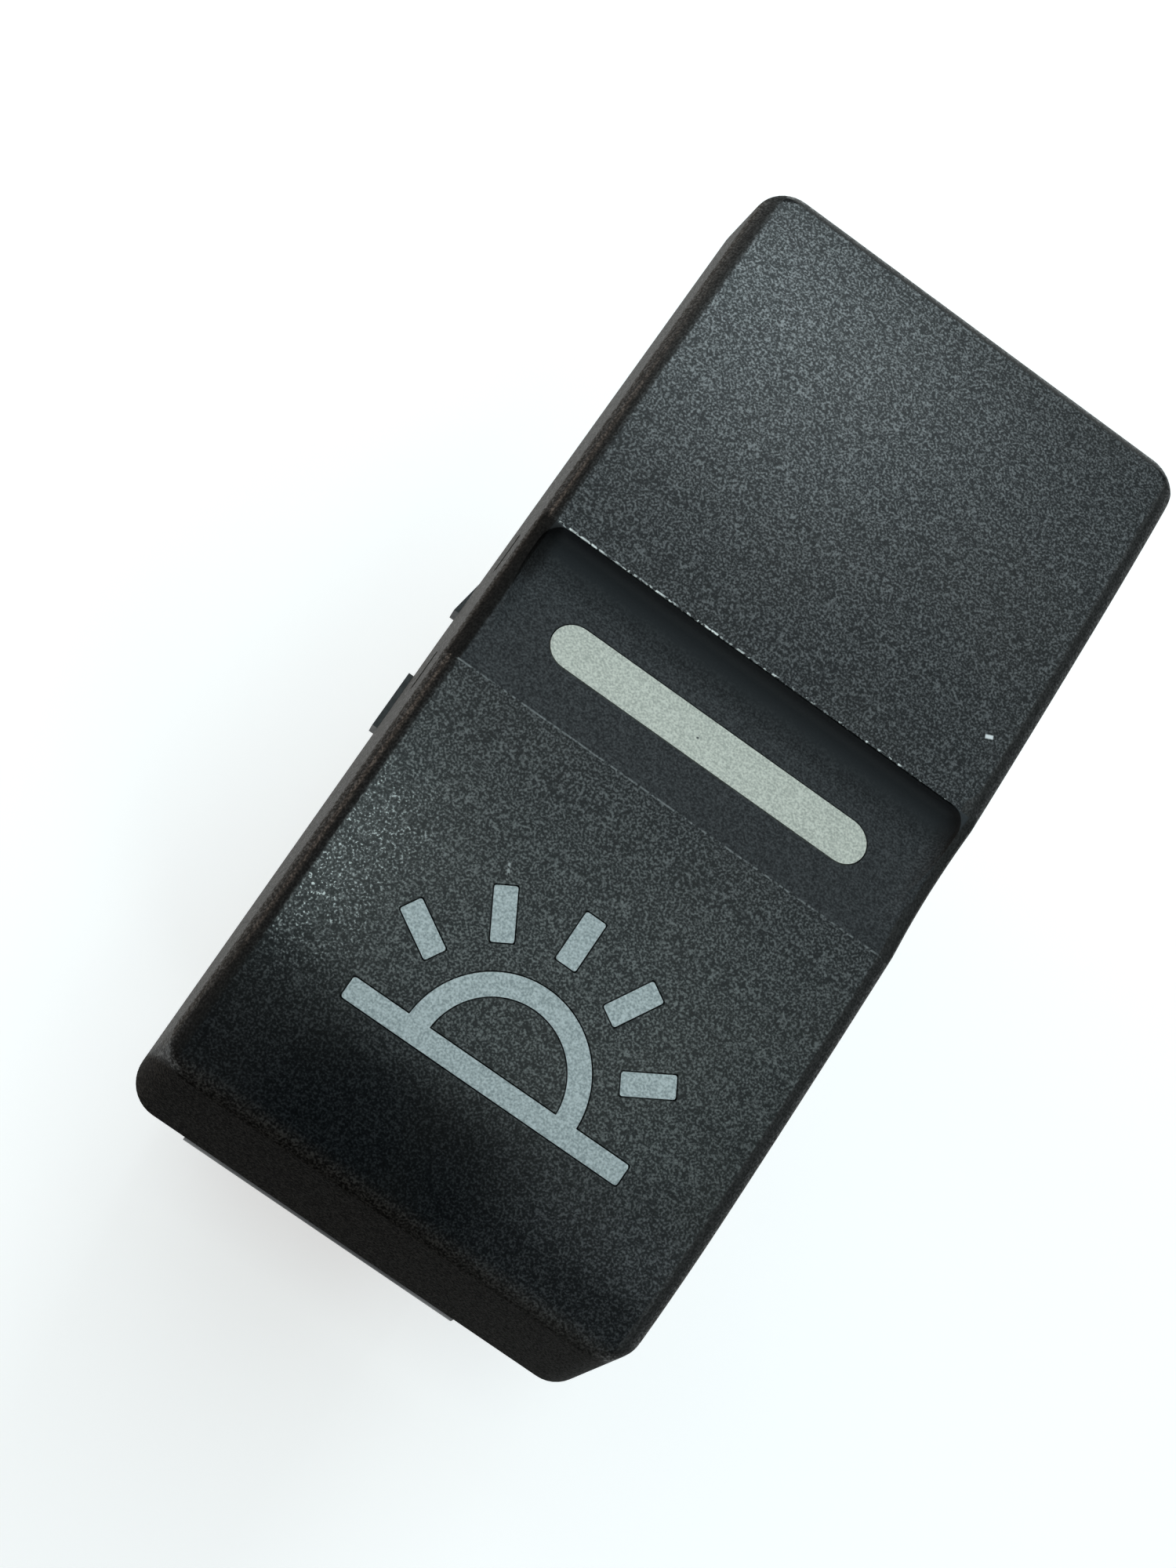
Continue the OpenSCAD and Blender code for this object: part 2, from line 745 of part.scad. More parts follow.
// Rails and stop that hold the foot of a spring clip on an end wall
module clip_rails(end) {
    rail_inner = clip_width / 2 + rail_gap;
    rail_height = clip_foot_length + rail_width;
    wall_y = body_length / 2;
    lip_y = wall_y + clip_thickness + rail_gap;
    for (side = [LEFT, RIGHT]) {
        translate([side * (rail_inner + rail_width / 2), end * (wall_y + rail_depth / 2 - eps), clip_foot])
            linear_extrude(rail_height) square([rail_width, rail_depth + 2 * eps], center = true);
        translate([
            side * (rail_inner + (rail_width - rail_lip) / 2),
            end * (lip_y + wall_y + rail_depth) / 2,
            clip_foot
        ]) linear_extrude(clip_foot_length - rail_width)
            square([rail_width + rail_lip, wall_y + rail_depth - lip_y], center = true);
    }
    translate([0, end * (wall_y + rail_depth / 2 - eps), clip_foot - rail_width])
        linear_extrude(rail_width)
            square([2 * (rail_inner + rail_width), rail_depth + 2 * eps], center = true);
}

module housing() {
    recess = 2 * (body_wall - ledge);
    color(moulding_black) difference() {
        union() {
            translate([0, 0, -body_depth]) linear_extrude(body_depth + eps)
                rounded_plate(body_width, body_length, body_corner);
            linear_extrude(flange_thickness) rounded_plate(flange_width, flange_length, corner_radius);
            flange_lugs();
            fit_ribs();
            for (end = [UPPER, LOWER]) clip_rails(end);
            for (side = [LEFT, RIGHT]) translate([side * (inner_x + tower_thickness / 2), 0, 0])
                across(tower_thickness) {
                    translate([0, pivot_z]) circle(tower_radius);
                    translate([-tower_radius, 0]) square([2 * tower_radius, pivot_z]);
                }
        }
        translate([0, 0, -2 * body_depth]) linear_extrude(4 * body_depth)
            rounded_plate(2 * inner_x, 2 * inner_y, body_corner / 2);
        translate([0, 0, -2 * body_depth]) linear_extrude(2 * body_depth + base_top)
            rounded_plate(body_width - recess, body_length - recess, body_corner / 2);
        base_latches(latch_gap, body_wall);
        side_panels();
        translate([0, 0, pivot_z]) rotate([0, 90, 0])
            cylinder(d = pin_diameter, h = 2 * body_width, center = true);
    }
}

module retaining_clip(end) {
    color(spring_steel) across(clip_width) bent_strip([
        [end * clip_y, clip_foot],
        [end * clip_y, clip_root],
        [end * (clip_reach - clip_thickness / 2), -clip_depth],
        [end * (clip_y + clip_tip_gap), -clip_tip_depth]
    ], clip_thickness, clip_bend);
}

module lamp_board() {
    half = board_length / 2;
    bottom = base_top - board_groove;
    color(board_green) across(board_thickness) polygon([
        [-half, bottom], [half, bottom], [half, board_top - board_chamfer],
        [half - board_chamfer, board_top], [board_chamfer - half, board_top], [-half, board_top - board_chamfer]
    ]);
}

// A square lamp with a round dome, standing on the board's top edge
module lamp(y) {
    color(lamp_clear) translate([0, y, board_top]) {
        translate([0, 0, lamp_height / 2]) cube([lamp_width, lamp_length, lamp_height], center = true);
        translate([0, 0, lamp_height]) difference() {
            sphere(lamp_dome);
            translate([0, 0, -lamp_dome]) cube(2 * lamp_dome, center = true);
        }
    }
}

module board_resistors() {
    color(resistor_black) for (side = [LEFT, RIGHT])
        translate([
            side * (board_thickness + resistor_size[0]) / 2,
            side * resistor_row,
            (base_top + board_top) / 2
        ]) cube(resistor_size, center = true);
}

rocker_cap();
indicator_lens();
symbol_diffuser();
rocker_carrier();
pivot_pin(LEFT);  // pivot_pin_left
pivot_pin(RIGHT);  // pivot_pin_right
plunger(LEFT);  // plunger_left
plunger(RIGHT);  // plunger_right
plunger_spring(LEFT);  // plunger_spring_left
plunger_spring(RIGHT);  // plunger_spring_right
contact_arm(LEFT);  // contact_arm_left
contact_arm(RIGHT);  // contact_arm_right
moving_contacts(LEFT);  // moving_contacts_left
moving_contacts(RIGHT);  // moving_contacts_right
housing();
terminal_base();
retaining_clip(UPPER);  // retaining_clip_upper
retaining_clip(LOWER);  // retaining_clip_lower
common_terminal(LEFT);  // common_terminal_left
common_terminal(RIGHT);  // common_terminal_right
side_terminal(LEFT, UPPER);  // upper_terminal_left
side_terminal(RIGHT, UPPER);  // upper_terminal_right
side_terminal(LEFT, LOWER);  // lower_terminal_left
side_terminal(RIGHT, LOWER);  // lower_terminal_right
fixed_contacts();
lamp_terminal(LEFT, UPPER);  // lamp_terminal_upper_left
lamp_terminal(RIGHT, UPPER);  // lamp_terminal_upper_right
lamp_terminal(LEFT, LOWER);  // lamp_terminal_lower_left
lamp_terminal(RIGHT, LOWER);  // lamp_terminal_lower_right
lamp_board();
lamp(0);  // indicator_lamp
lamp(symbol_lamp_y);  // symbol_lamp
board_resistors();
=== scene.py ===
"""Looks of a rocker light switch: a crowned dark cap with a lit bar and a lamp sign, on its housing."""

import json
import math

import bmesh
import bpy
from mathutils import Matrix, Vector


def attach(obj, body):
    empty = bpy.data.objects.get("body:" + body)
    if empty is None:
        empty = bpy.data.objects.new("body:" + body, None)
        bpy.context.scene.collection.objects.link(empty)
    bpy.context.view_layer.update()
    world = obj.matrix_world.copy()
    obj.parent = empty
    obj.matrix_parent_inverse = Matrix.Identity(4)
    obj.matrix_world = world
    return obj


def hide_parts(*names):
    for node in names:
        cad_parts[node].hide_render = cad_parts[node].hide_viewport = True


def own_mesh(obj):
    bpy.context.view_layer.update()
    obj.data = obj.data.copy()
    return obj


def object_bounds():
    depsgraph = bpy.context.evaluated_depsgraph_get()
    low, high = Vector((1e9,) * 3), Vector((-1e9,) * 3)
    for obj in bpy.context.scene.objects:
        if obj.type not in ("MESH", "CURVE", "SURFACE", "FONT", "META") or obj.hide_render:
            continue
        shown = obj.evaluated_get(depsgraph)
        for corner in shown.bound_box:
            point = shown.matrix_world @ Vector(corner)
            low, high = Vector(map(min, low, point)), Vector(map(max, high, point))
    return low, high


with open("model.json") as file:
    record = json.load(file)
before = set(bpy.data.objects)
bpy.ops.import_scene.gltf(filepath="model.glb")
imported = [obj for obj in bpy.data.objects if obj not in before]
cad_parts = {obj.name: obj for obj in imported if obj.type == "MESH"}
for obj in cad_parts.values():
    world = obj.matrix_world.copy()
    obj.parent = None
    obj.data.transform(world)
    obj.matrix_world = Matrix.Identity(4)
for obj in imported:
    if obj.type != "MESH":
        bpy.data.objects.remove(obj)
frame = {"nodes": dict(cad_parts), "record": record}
cad_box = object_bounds()
nodes = frame["nodes"]

MM = 0.001
SAME_PLACE = 1e-6

# Sizes of the cap and of the pieces that it meets inside, in millimetres
RIM_WIDTH = 22.4
RIM_LENGTH = 48.1
RIM_Z = 5.58
APEX_Z = 2.2
CROWN_Z = 15.08
CROWN_RADIUS = 165.0
ROLL_START = 15.0
UPPER_ROLL = 70.0
LOWER_ROLL = 30.0
SIDE_DRAFT = 2.5
END_DRAFT = 14.0
CORNER_RADIUS = 1.6
SIDE_EDGE = 0.88
END_EDGE = 0.4
WALL = 1.3
SKIRT_RISE = 8.0
STEP_Y = 3.6
CREASE_Y = -3.3
STEP_HEIGHT = 1.9
STEP_FILLET = 1.0
NOTCH_EDGE = 0.1
BAND_HALF = 10.3
BAND_END_FILLET = 0.9
BAND_SIDE_EDGE = 0.8
RIM_FILLET = 8.0
BAR_LENGTH = 15.4
BAR_WIDTH = 2.15
LIGHT_BOX_Y = -12.6
LIGHT_BOX_WIDTH = 15.0
LIGHT_BOX_LENGTH = 9.6
LIGHT_BOX_RIB = 0.9
LIGHT_BOX_FLOOR = 11.78
LIGHT_BOX_TOP = 13.75
DECK_TOP = 10.892
DECK_BOTTOM = 9.492
DECK_HALF_WIDTH = 9.268
DECK_LENGTH = 12.4
BOSS_SIZE = 1.8
BOSS_TOP = 14.1
BOSS_EDGE = 0.15
HOOK_CATCH = 0.4
HOOK_DEPTH = 2.2
HOOK_REACH = 2.2
HOOK_GAP = 0.05
POLE_OFFSET = 4.4

# The lamp sign, in millimetres
SIGN_Y = -15.77
SIGN_RING = 3.9
SIGN_LINE = 0.94
SIGN_BAR_Y = -16.1
SIGN_BAR_LENGTH = 12.86
SIGN_BAR_LINE = 0.92
SIGN_RAY_REACH = 6.13
SIGN_RAY_LENGTH = 2.2
SIGN_BAR_CORNER = 0.12
SIGN_RAY_CORNER = 0.1
SIGN_GROOVE = 0.055
SIGN_DEPTH = 0.6

# Cutting pieces, which reach past the cap, in millimetres
STRIP_WIDTH = 28.0
BAR_HALF = 13.0
BAR_BREAK = 20.2
BAR_END = 27.0
CUT_HALF = 13.5
CUT_TOP = 20.0
PAST_END = 0.8
CAP_FLOOR = -2.0
HOLLOW_FLOOR = -4.0
ROUNDING_FLOOR = -6.0

# How far they stand off a surface that another piece cuts, in millimetres
RAMP_CLEAR = 0.02
SIDE_CLEAR = 0.02
NOTCH_CLEAR = 0.04

# Facets of the front's three arcs, from the sign's end to the plain end
CAP_STEPS = (12, 32, 8)
SIDE_STEPS = (11, 29, 7)
NOTCH_STEPS = (4, 8, 3)

# Walls that meet at less than this, in degrees, are shaded as one
SMOOTH_ANGLE = 32


def arc_height(radius, y):
    return math.sqrt(radius * radius - y * y) - radius


ROLL_ANGLE = math.asin(ROLL_START / CROWN_RADIUS)
ROLL_Z = CROWN_Z + arc_height(CROWN_RADIUS, ROLL_START)


def roll_centre(radius, end):
    """Centre of a roll-off arc, at the plain end (1) or the sign's end (-1)."""
    return (end * (ROLL_START - radius * math.sin(ROLL_ANGLE)), ROLL_Z - radius * math.cos(ROLL_ANGLE))


def crown(y):
    """Height of the cap's front along its length."""
    if abs(y) <= ROLL_START:
        return CROWN_Z + arc_height(CROWN_RADIUS, y)
    end = 1 if y > 0 else -1
    radius = UPPER_ROLL if y > 0 else LOWER_ROLL
    centre_y, centre_z = roll_centre(radius, end)
    return centre_z + radius + arc_height(radius, y - centre_y)


SKIRT_END = RIM_LENGTH / 2 + (RIM_Z - APEX_Z) * math.tan(math.radians(END_DRAFT))


def front_end(end):
    """Where the front meets the end wall: its place along the cap and its height."""
    y = RIM_LENGTH / 2 - (crown(end * RIM_LENGTH / 2) - RIM_Z) * math.tan(math.radians(END_DRAFT))
    return y, crown(end * y)


def end_slope(end):
    """Lean of an end wall, from the skirt's lowest line to the front."""
    y, z = front_end(end)
    return math.atan2(SKIRT_END - y, z - END_EDGE - APEX_Z)


def end_tip(end, start, inset):
    """A point past the end wall, on the straight line of the front's last stretch."""
    y, z = front_end(end)
    fall = (crown(end * start) - z) / (y - start)
    tip = y + PAST_END
    return end * tip, z - fall * (tip - y) - inset


CREASE_Z = crown(CREASE_Y)
FOOT_Z = crown(STEP_Y) - STEP_HEIGHT
BAND_ANGLE = math.atan2(CREASE_Z - FOOT_Z, STEP_Y - CREASE_Y)


def band_height(y):
    return CREASE_Z - (y - CREASE_Y) * math.tan(BAND_ANGLE)


FOOT_Y = STEP_Y - STEP_FILLET
FOOT_CENTRE_Z = band_height(FOOT_Y) + STEP_FILLET / math.cos(BAND_ANGLE)


# Modelling by hand: one piece at a time is taken up, opened and shaped


def take(piece):
    bpy.ops.object.select_all(action="DESELECT")
    piece.select_set(True)
    bpy.context.view_layer.objects.active = piece


def open_mesh(piece, kind):
    take(piece)
    bpy.ops.object.mode_set(mode="EDIT")
    bpy.ops.mesh.select_mode(type=kind)
    bpy.ops.mesh.select_all(action="DESELECT")
    return bmesh.from_edit_mesh(piece.data)


def close_mesh():
    bpy.ops.object.mode_set(mode="OBJECT")


def pick(piece, mesh, items, wanted):
    """Selects the faces, edges or points that a test names, and says how many there are."""
    found = [item for item in items if wanted(item)]
    for item in found:
        item.select_set(True)
    mesh.select_flush_mode()
    bmesh.update_edit_mesh(piece.data)
    return len(found)


def named(name):
    piece = bpy.context.object
    piece.name = name
    piece.data.name = name
    return piece


def settle(piece):
    """Puts a piece's place, turn and size into its mesh."""
    take(piece)
    bpy.ops.object.transform_apply(location=True, rotation=True, scale=True)


def block(name, size, centre):
    bpy.ops.object.select_all(action="DESELECT")
    bpy.ops.mesh.primitive_cube_add(size=1)
    piece = named(name)
    piece.scale = [s * MM for s in size]
    piece.location = [c * MM for c in centre]
    settle(piece)
    return piece


def round_bar(name, radius, height, centre):
    bpy.ops.object.select_all(action="DESELECT")
    bpy.ops.mesh.primitive_cylinder_add(
        vertices=96, radius=radius * MM, depth=height * MM, location=[c * MM for c in centre]
    )
    piece = named(name)
    settle(piece)
    return piece


def round_edges(piece, radius, segments, wanted):
    """Rounds the edges that a test names."""
    mesh = open_mesh(piece, "EDGE")
    if pick(piece, mesh, mesh.edges, wanted):
        bpy.ops.mesh.bevel(
            offset=radius * MM, offset_type="OFFSET", segments=segments, profile=0.5,
            affect="EDGES", clamp_overlap=False,
        )
    close_mesh()


def upright(edge):
    a, b = (v.co for v in edge.verts)
    return abs(a.z - b.z) > 0.9 * (a - b).length


def crosswise(edge):
    a, b = (v.co for v in edge.verts)
    return abs(a.x - b.x) > 0.9 * (a - b).length


def slice_off(piece, point, outward):
    """Cuts a closed piece with a plane, drops what is outside and closes the cut."""
    open_mesh(piece, "VERT")
    bpy.ops.mesh.select_all(action="SELECT")
    bpy.ops.mesh.bisect(
        plane_co=[p * MM for p in point], plane_no=outward,
        use_fill=True, clear_inner=False, clear_outer=True,
    )
    close_mesh()


def work_on(piece, tool, how, keep=False):
    """Cuts one piece with another, or joins or intersects them."""
    take(piece)
    bpy.ops.object.modifier_add(type="BOOLEAN")
    change = piece.modifiers[-1]
    change.operation = how
    change.solver = "EXACT"
    change.object = tool
    bpy.ops.object.modifier_apply(modifier=change.name)
    if not keep:
        bpy.data.objects.remove(tool)


class Strip:
    """A wide strip across the switch that follows a side profile, leg by leg and arc by arc."""

    def __init__(self, name, start, first):
        self.at = first
        length = math.dist(start, first)
        bpy.ops.object.select_all(action="DESELECT")
        bpy.ops.mesh.primitive_plane_add(size=1)
        self.piece = named(name)
        self.piece.scale = (STRIP_WIDTH * MM, length * MM, 1)
        settle(self.piece)
        self.piece.rotation_euler = (math.atan2(first[1] - start[1], first[0] - start[0]), 0, 0)
        self.piece.location = (0, (start[0] + first[0]) / 2 * MM, (start[1] + first[1]) / 2 * MM)
        settle(self.piece)
        mesh = open_mesh(self.piece, "VERT")
        tip = Vector((0, first[0] * MM, first[1] * MM))
        pick(
            self.piece, mesh, mesh.verts,
            lambda v: (Vector((0, v.co.y, v.co.z)) - tip).length < SAME_PLACE,
        )

    def leg(self, y, z):
        step = (0, (y - self.at[0]) * MM, (z - self.at[1]) * MM)
        bpy.ops.mesh.extrude_region_move(TRANSFORM_OT_translate={"value": step})
        self.at = (y, z)

    def arc(self, centre, turn, steps):
        """Sweeps on round a centre. A positive turn, in radians, leads from -Y over the top to +Y."""
        bpy.ops.mesh.spin(
            steps=steps, angle=turn, center=(0, centre[0] * MM, centre[1] * MM), axis=(1, 0, 0)
        )
        dy, dz = self.at[0] - centre[0], self.at[1] - centre[1]
        self.at = (
            centre[0] + dy * math.cos(turn) + dz * math.sin(turn),
            centre[1] - dy * math.sin(turn) + dz * math.cos(turn),
        )

    def finish(self, half_width):
        """Closes the profile and both sides, and points the faces outwards."""
        bpy.ops.mesh.select_all(action="SELECT")
        bpy.ops.mesh.remove_doubles(threshold=SAME_PLACE)
        close_mesh()
        slice_off(self.piece, (half_width, 0, 0), (1, 0, 0))
        slice_off(self.piece, (-half_width, 0, 0), (-1, 0, 0))
        open_mesh(self.piece, "FACE")
        bpy.ops.mesh.select_all(action="SELECT")
        bpy.ops.mesh.normals_make_consistent(inside=False)
        close_mesh()
        return self.piece


def crowned_bar(name, inset, steps, floor):
    """A bar with the cap's crowned front and leaning sides, longer than the cap."""
    lower = roll_centre(LOWER_ROLL, -1)
    upper = roll_centre(UPPER_ROLL, 1)
    lower_turn = math.asin((BAR_BREAK + lower[0]) / LOWER_ROLL) - ROLL_ANGLE
    upper_turn = math.asin((BAR_BREAK - upper[0]) / UPPER_ROLL) - ROLL_ANGLE
    strip = Strip(name, (BAR_END, floor), (-BAR_END, floor))
    strip.leg(*end_tip(-1, BAR_BREAK, inset))
    strip.leg(-BAR_BREAK, crown(-BAR_BREAK) - inset)
    strip.arc((lower[0], lower[1] - inset), lower_turn, steps[0])
    strip.arc((0.0, CROWN_Z - CROWN_RADIUS - inset), 2 * ROLL_ANGLE, steps[1])
    strip.arc((upper[0], upper[1] - inset), upper_turn, steps[2])
    strip.leg(*end_tip(1, BAR_BREAK, inset))
    strip.leg(BAR_END, floor)
    piece = strip.finish(BAR_HALF)
    lean = math.radians(SIDE_DRAFT)
    for side in (-1, 1):
        slice_off(
            piece, (side * (RIM_WIDTH / 2 - inset), 0, RIM_Z),
            (side * math.cos(lean), 0, math.sin(lean)),
        )
    return piece


def on_front_rim(edge):
    """Whether an edge lies between the front and a wall."""
    tilts = [face.normal.z for face in edge.link_faces]
    return len(tilts) == 2 and max(tilts) > 0.8 and abs(min(tilts)) < 0.5


def on_corner(edge):
    """Whether an edge is one of the four long upright ones at the corners."""
    a, b = (v.co for v in edge.verts)
    outside = all(abs(p.x) > 8 * MM and abs(p.y) > 19 * MM for p in (a, b))
    return outside and abs(a.z - b.z) > 5 * MM


def crowned_block(name, inset, corner, edge, floor):
    """The crowned, drafted form of the cap, or of its hollow when it is set in by a wall."""
    piece = crowned_bar(name, inset, CAP_STEPS, floor)
    for side in (-1, 1):
        slope = end_slope(side)
        slice_off(
            piece, (0, side * (SKIRT_END - inset), APEX_Z),
            (0, side * math.cos(slope), math.sin(slope)),
        )
    round_edges(piece, corner, 10, on_corner)
    if edge:
        round_edges(piece, edge, 6, on_front_rim)
    return piece


def on_side_rim(edge):
    """Whether an edge lies between a side wall and the front or the ramp in it."""
    if len(edge.link_faces) != 2 or any(abs(v.co.y) > 25 * MM for v in edge.verts):
        return False
    across, along = sorted(edge.link_faces, key=lambda face: abs(face.normal.x))
    return abs(along.normal.x) > 0.9 and abs(across.normal.x) < 0.1 and across.normal.z > -0.3


def at_band_end(edge):
    """Whether an edge of the notch lies between one of its ends and the band, the foot or the step."""
    normals = [face.normal for face in edge.link_faces]
    return max(abs(n.x) for n in normals) > 0.9 and all(n.z < 0.9 and n.y > -0.9 for n in normals)


def band_recess():
    """The notch between the crease and the step, with a rounded foot and rounded ends."""
    start = (
        FOOT_Y - STEP_FILLET * math.sin(BAND_ANGLE),
        FOOT_CENTRE_Z - STEP_FILLET * math.cos(BAND_ANGLE),
    )
    strip = Strip("band_recess", (CREASE_Y, CREASE_Z), start)
    strip.arc((FOOT_Y, FOOT_CENTRE_Z), -(math.pi / 2 + BAND_ANGLE), 10)
    strip.leg(STEP_Y, CUT_TOP)
    strip.leg(CREASE_Y, CUT_TOP)
    strip.leg(CREASE_Y, CREASE_Z)
    piece = strip.finish(BAND_HALF)
    round_edges(piece, BAND_END_FILLET, 6, at_band_end)
    return piece


def rim_recess(clear):
    """The notch as the rim follows it past the band's ends: a long ramp from the band up to the lip."""
    past_lip = 0.06
    rise = STEP_HEIGHT * math.cos(BAND_ANGLE)
    run = math.sqrt(2 * RIM_FILLET * rise - rise ** 2)
    turn = math.acos(1 - rise / RIM_FILLET) + past_lip
    along = (math.cos(BAND_ANGLE), -math.sin(BAND_ANGLE))
    up = (math.sin(BAND_ANGLE), math.cos(BAND_ANGLE))
    lip = (STEP_Y, crown(STEP_Y))
    start = tuple(lip[i] - rise * up[i] - run * along[i] for i in (0, 1))
    centre = tuple(start[i] + RIM_FILLET * up[i] for i in (0, 1))
    strip = Strip("rim_recess", (CREASE_Y, CREASE_Z), start)
    strip.arc(centre, -turn, 12)
    strip.leg(strip.at[0], CUT_TOP)
    strip.leg(CREASE_Y, CUT_TOP)
    strip.leg(CREASE_Y, CREASE_Z)
    piece = strip.finish(CUT_HALF)
    piece.location = (0, -clear * MM, clear * MM)
    settle(piece)
    return piece


def side_rounding():
    """A bar just over the cap's size whose long edges have the rounding of the cap's sides."""
    piece = crowned_bar("side_rounding", -SIDE_CLEAR, SIDE_STEPS, ROUNDING_FLOOR)
    round_edges(piece, SIDE_EDGE, 8, on_side_rim)
    return piece


def notch_rounding():
    """The same bar, a little larger and with the rim's ramp in it, rounded along the sides."""
    piece = crowned_bar("notch_rounding", -NOTCH_CLEAR, NOTCH_STEPS, ROUNDING_FLOOR)
    work_on(piece, rim_recess(NOTCH_CLEAR), "DIFFERENCE")
    round_edges(piece, BAND_SIDE_EDGE, 6, on_side_rim)
    return piece


def band_backing():
    """The wall behind the band and the step, left standing in the hollow."""
    drop = WALL / math.cos(BAND_ANGLE)
    back = STEP_Y + WALL
    strip = Strip("band_backing", (CREASE_Y, CREASE_Z - drop), (STEP_Y, FOOT_Z - drop))
    strip.leg(back, FOOT_Z - drop)
    strip.leg(back, CUT_TOP)
    strip.leg(CREASE_Y, CUT_TOP)
    strip.leg(CREASE_Y, CREASE_Z - drop)
    return strip.finish(CUT_HALF)


def bar_window():
    """The round-ended opening of the light bar, square to the band."""
    depth = 6.0
    piece = block("bar_window", (BAR_LENGTH, BAR_WIDTH, depth), (0, 0, 0))
    round_edges(piece, BAR_WIDTH / 2 - 0.001, 14, upright)
    piece.rotation_euler = (-BAND_ANGLE, 0, 0)
    piece.location = (0, 0, band_height(0) * MM)
    settle(piece)
    return piece


def sign_stencil(name, grow):
    """The lamp sign as upright bars: a half ring on a base line, with five rays."""
    height = 7.0
    middle = CROWN_Z - SIGN_DEPTH
    centre = (0, SIGN_Y, middle)
    ring = round_bar(name, SIGN_RING + grow, height, centre)
    inner = round_bar("ring_inner", SIGN_RING - SIGN_LINE - grow, 2 * height, centre)
    work_on(ring, inner, "DIFFERENCE")
    below = 8.0
    lower_half = block("ring_lower_half", (12.0, below, 2 * height), (0, SIGN_BAR_Y - below / 2, middle))
    work_on(ring, lower_half, "DIFFERENCE")
    base_line = block(
        "base_line", (SIGN_BAR_LENGTH + 2 * grow, SIGN_BAR_LINE + 2 * grow, height), (0, SIGN_BAR_Y, middle)
    )
    round_edges(base_line, SIGN_BAR_CORNER, 3, upright)
    work_on(ring, base_line, "UNION")
    for step in range(5):
        angle = math.radians(30 + 30 * step)
        ray = block(
            f"ray_{step}", (SIGN_RAY_LENGTH + 2 * grow, SIGN_LINE + 2 * grow, height), (0, 0, 0)
        )
        round_edges(ray, SIGN_RAY_CORNER, 3, upright)
        ray.rotation_euler = (0, 0, angle)
        ray.location = (
            SIGN_RAY_REACH * math.cos(angle) * MM,
            (SIGN_Y + SIGN_RAY_REACH * math.sin(angle)) * MM,
            middle * MM,
        )
        settle(ray)
        work_on(ring, ray, "UNION")
    return ring


def light_box():
    """The rib frame behind the sign."""
    height = LIGHT_BOX_TOP - LIGHT_BOX_FLOOR
    piece = block(
        "light_box",
        (LIGHT_BOX_WIDTH + 2 * LIGHT_BOX_RIB, LIGHT_BOX_LENGTH + 2 * LIGHT_BOX_RIB, height),
        (0, LIGHT_BOX_Y, LIGHT_BOX_FLOOR + height / 2),
    )
    mesh = open_mesh(piece, "FACE")
    pick(piece, mesh, mesh.faces, lambda f: abs(f.normal.z) > 0.9)
    bpy.ops.mesh.inset(thickness=LIGHT_BOX_RIB * MM, use_individual=True)
    bpy.ops.mesh.bridge_edge_loops()
    close_mesh()
    return piece


def deck_boss(side, end):
    """A boss that stands on the carrier's deck."""
    piece = block(
        "deck_boss", (BOSS_SIZE, BOSS_SIZE, BOSS_TOP - DECK_TOP),
        (
            side * (DECK_HALF_WIDTH - BOSS_SIZE),
            end * (DECK_LENGTH - BOSS_SIZE) / 2,
            (BOSS_TOP + DECK_TOP) / 2,
        ),
    )
    round_edges(piece, BOSS_EDGE, 2, lambda e: e.verts[0].co.z < (DECK_TOP + 0.1) * MM or upright(e))
    return piece


def deck_hook(side, end):
    """A snap hook on the side wall, under the deck, with a lead-in slope."""
    inner = DECK_HALF_WIDTH - HOOK_CATCH
    outer = inner + HOOK_REACH
    top = DECK_BOTTOM - HOOK_GAP
    piece = block(
        "deck_hook", (outer - inner, BOSS_SIZE, HOOK_DEPTH),
        (side * (inner + outer) / 2, end * DECK_LENGTH / 4, top - HOOK_DEPTH / 2),
    )
    mesh = open_mesh(piece, "VERT")
    pick(
        piece, mesh, mesh.verts,
        lambda v: v.co.z < (top - 0.1) * MM and side * v.co.x < (inner + 0.1) * MM,
    )
    bpy.ops.transform.translate(value=(side * 2 * HOOK_CATCH * MM, 0, 0))
    close_mesh()
    return piece


def smooth(piece):
    """Smooth shading that keeps flat faces flat and real corners sharp."""
    take(piece)
    bpy.ops.object.shade_smooth_by_angle(angle=math.radians(SMOOTH_ANGLE))
    bpy.ops.object.modifier_add(type="WEIGHTED_NORMAL")
    weigh = piece.modifiers[-1]
    weigh.mode = "FACE_AREA"
    weigh.weight = 100
    weigh.keep_sharp = True
    bpy.ops.object.modifier_apply(modifier=weigh.name)


def round_notch(cap):
    """Breaks the two edges across the band, which are the step's lip and the crease."""

    def in_notch(face):
        middle = face.calc_center_median() / MM
        if middle.y < CREASE_Y or middle.y > STEP_Y + 0.001 or abs(face.normal.x) > 0.01:
            return False
        on_band = abs(middle.z - band_height(middle.y)) < 0.01 and face.normal.z > 0.9
        on_step = abs(middle.y - STEP_Y) < 0.001 and face.normal.y < -0.99
        on_foot = abs(math.hypot(middle.y - FOOT_Y, middle.z - FOOT_CENTRE_Z) - STEP_FILLET) < 0.02
        return on_band or on_step or (on_foot and middle.y > FOOT_Y - 0.2)

    def on_brink(edge):
        faces = edge.link_faces
        return len(faces) == 2 and crosswise(edge) and in_notch(faces[0]) != in_notch(faces[1])

    round_edges(cap, NOTCH_EDGE, 3, on_brink)


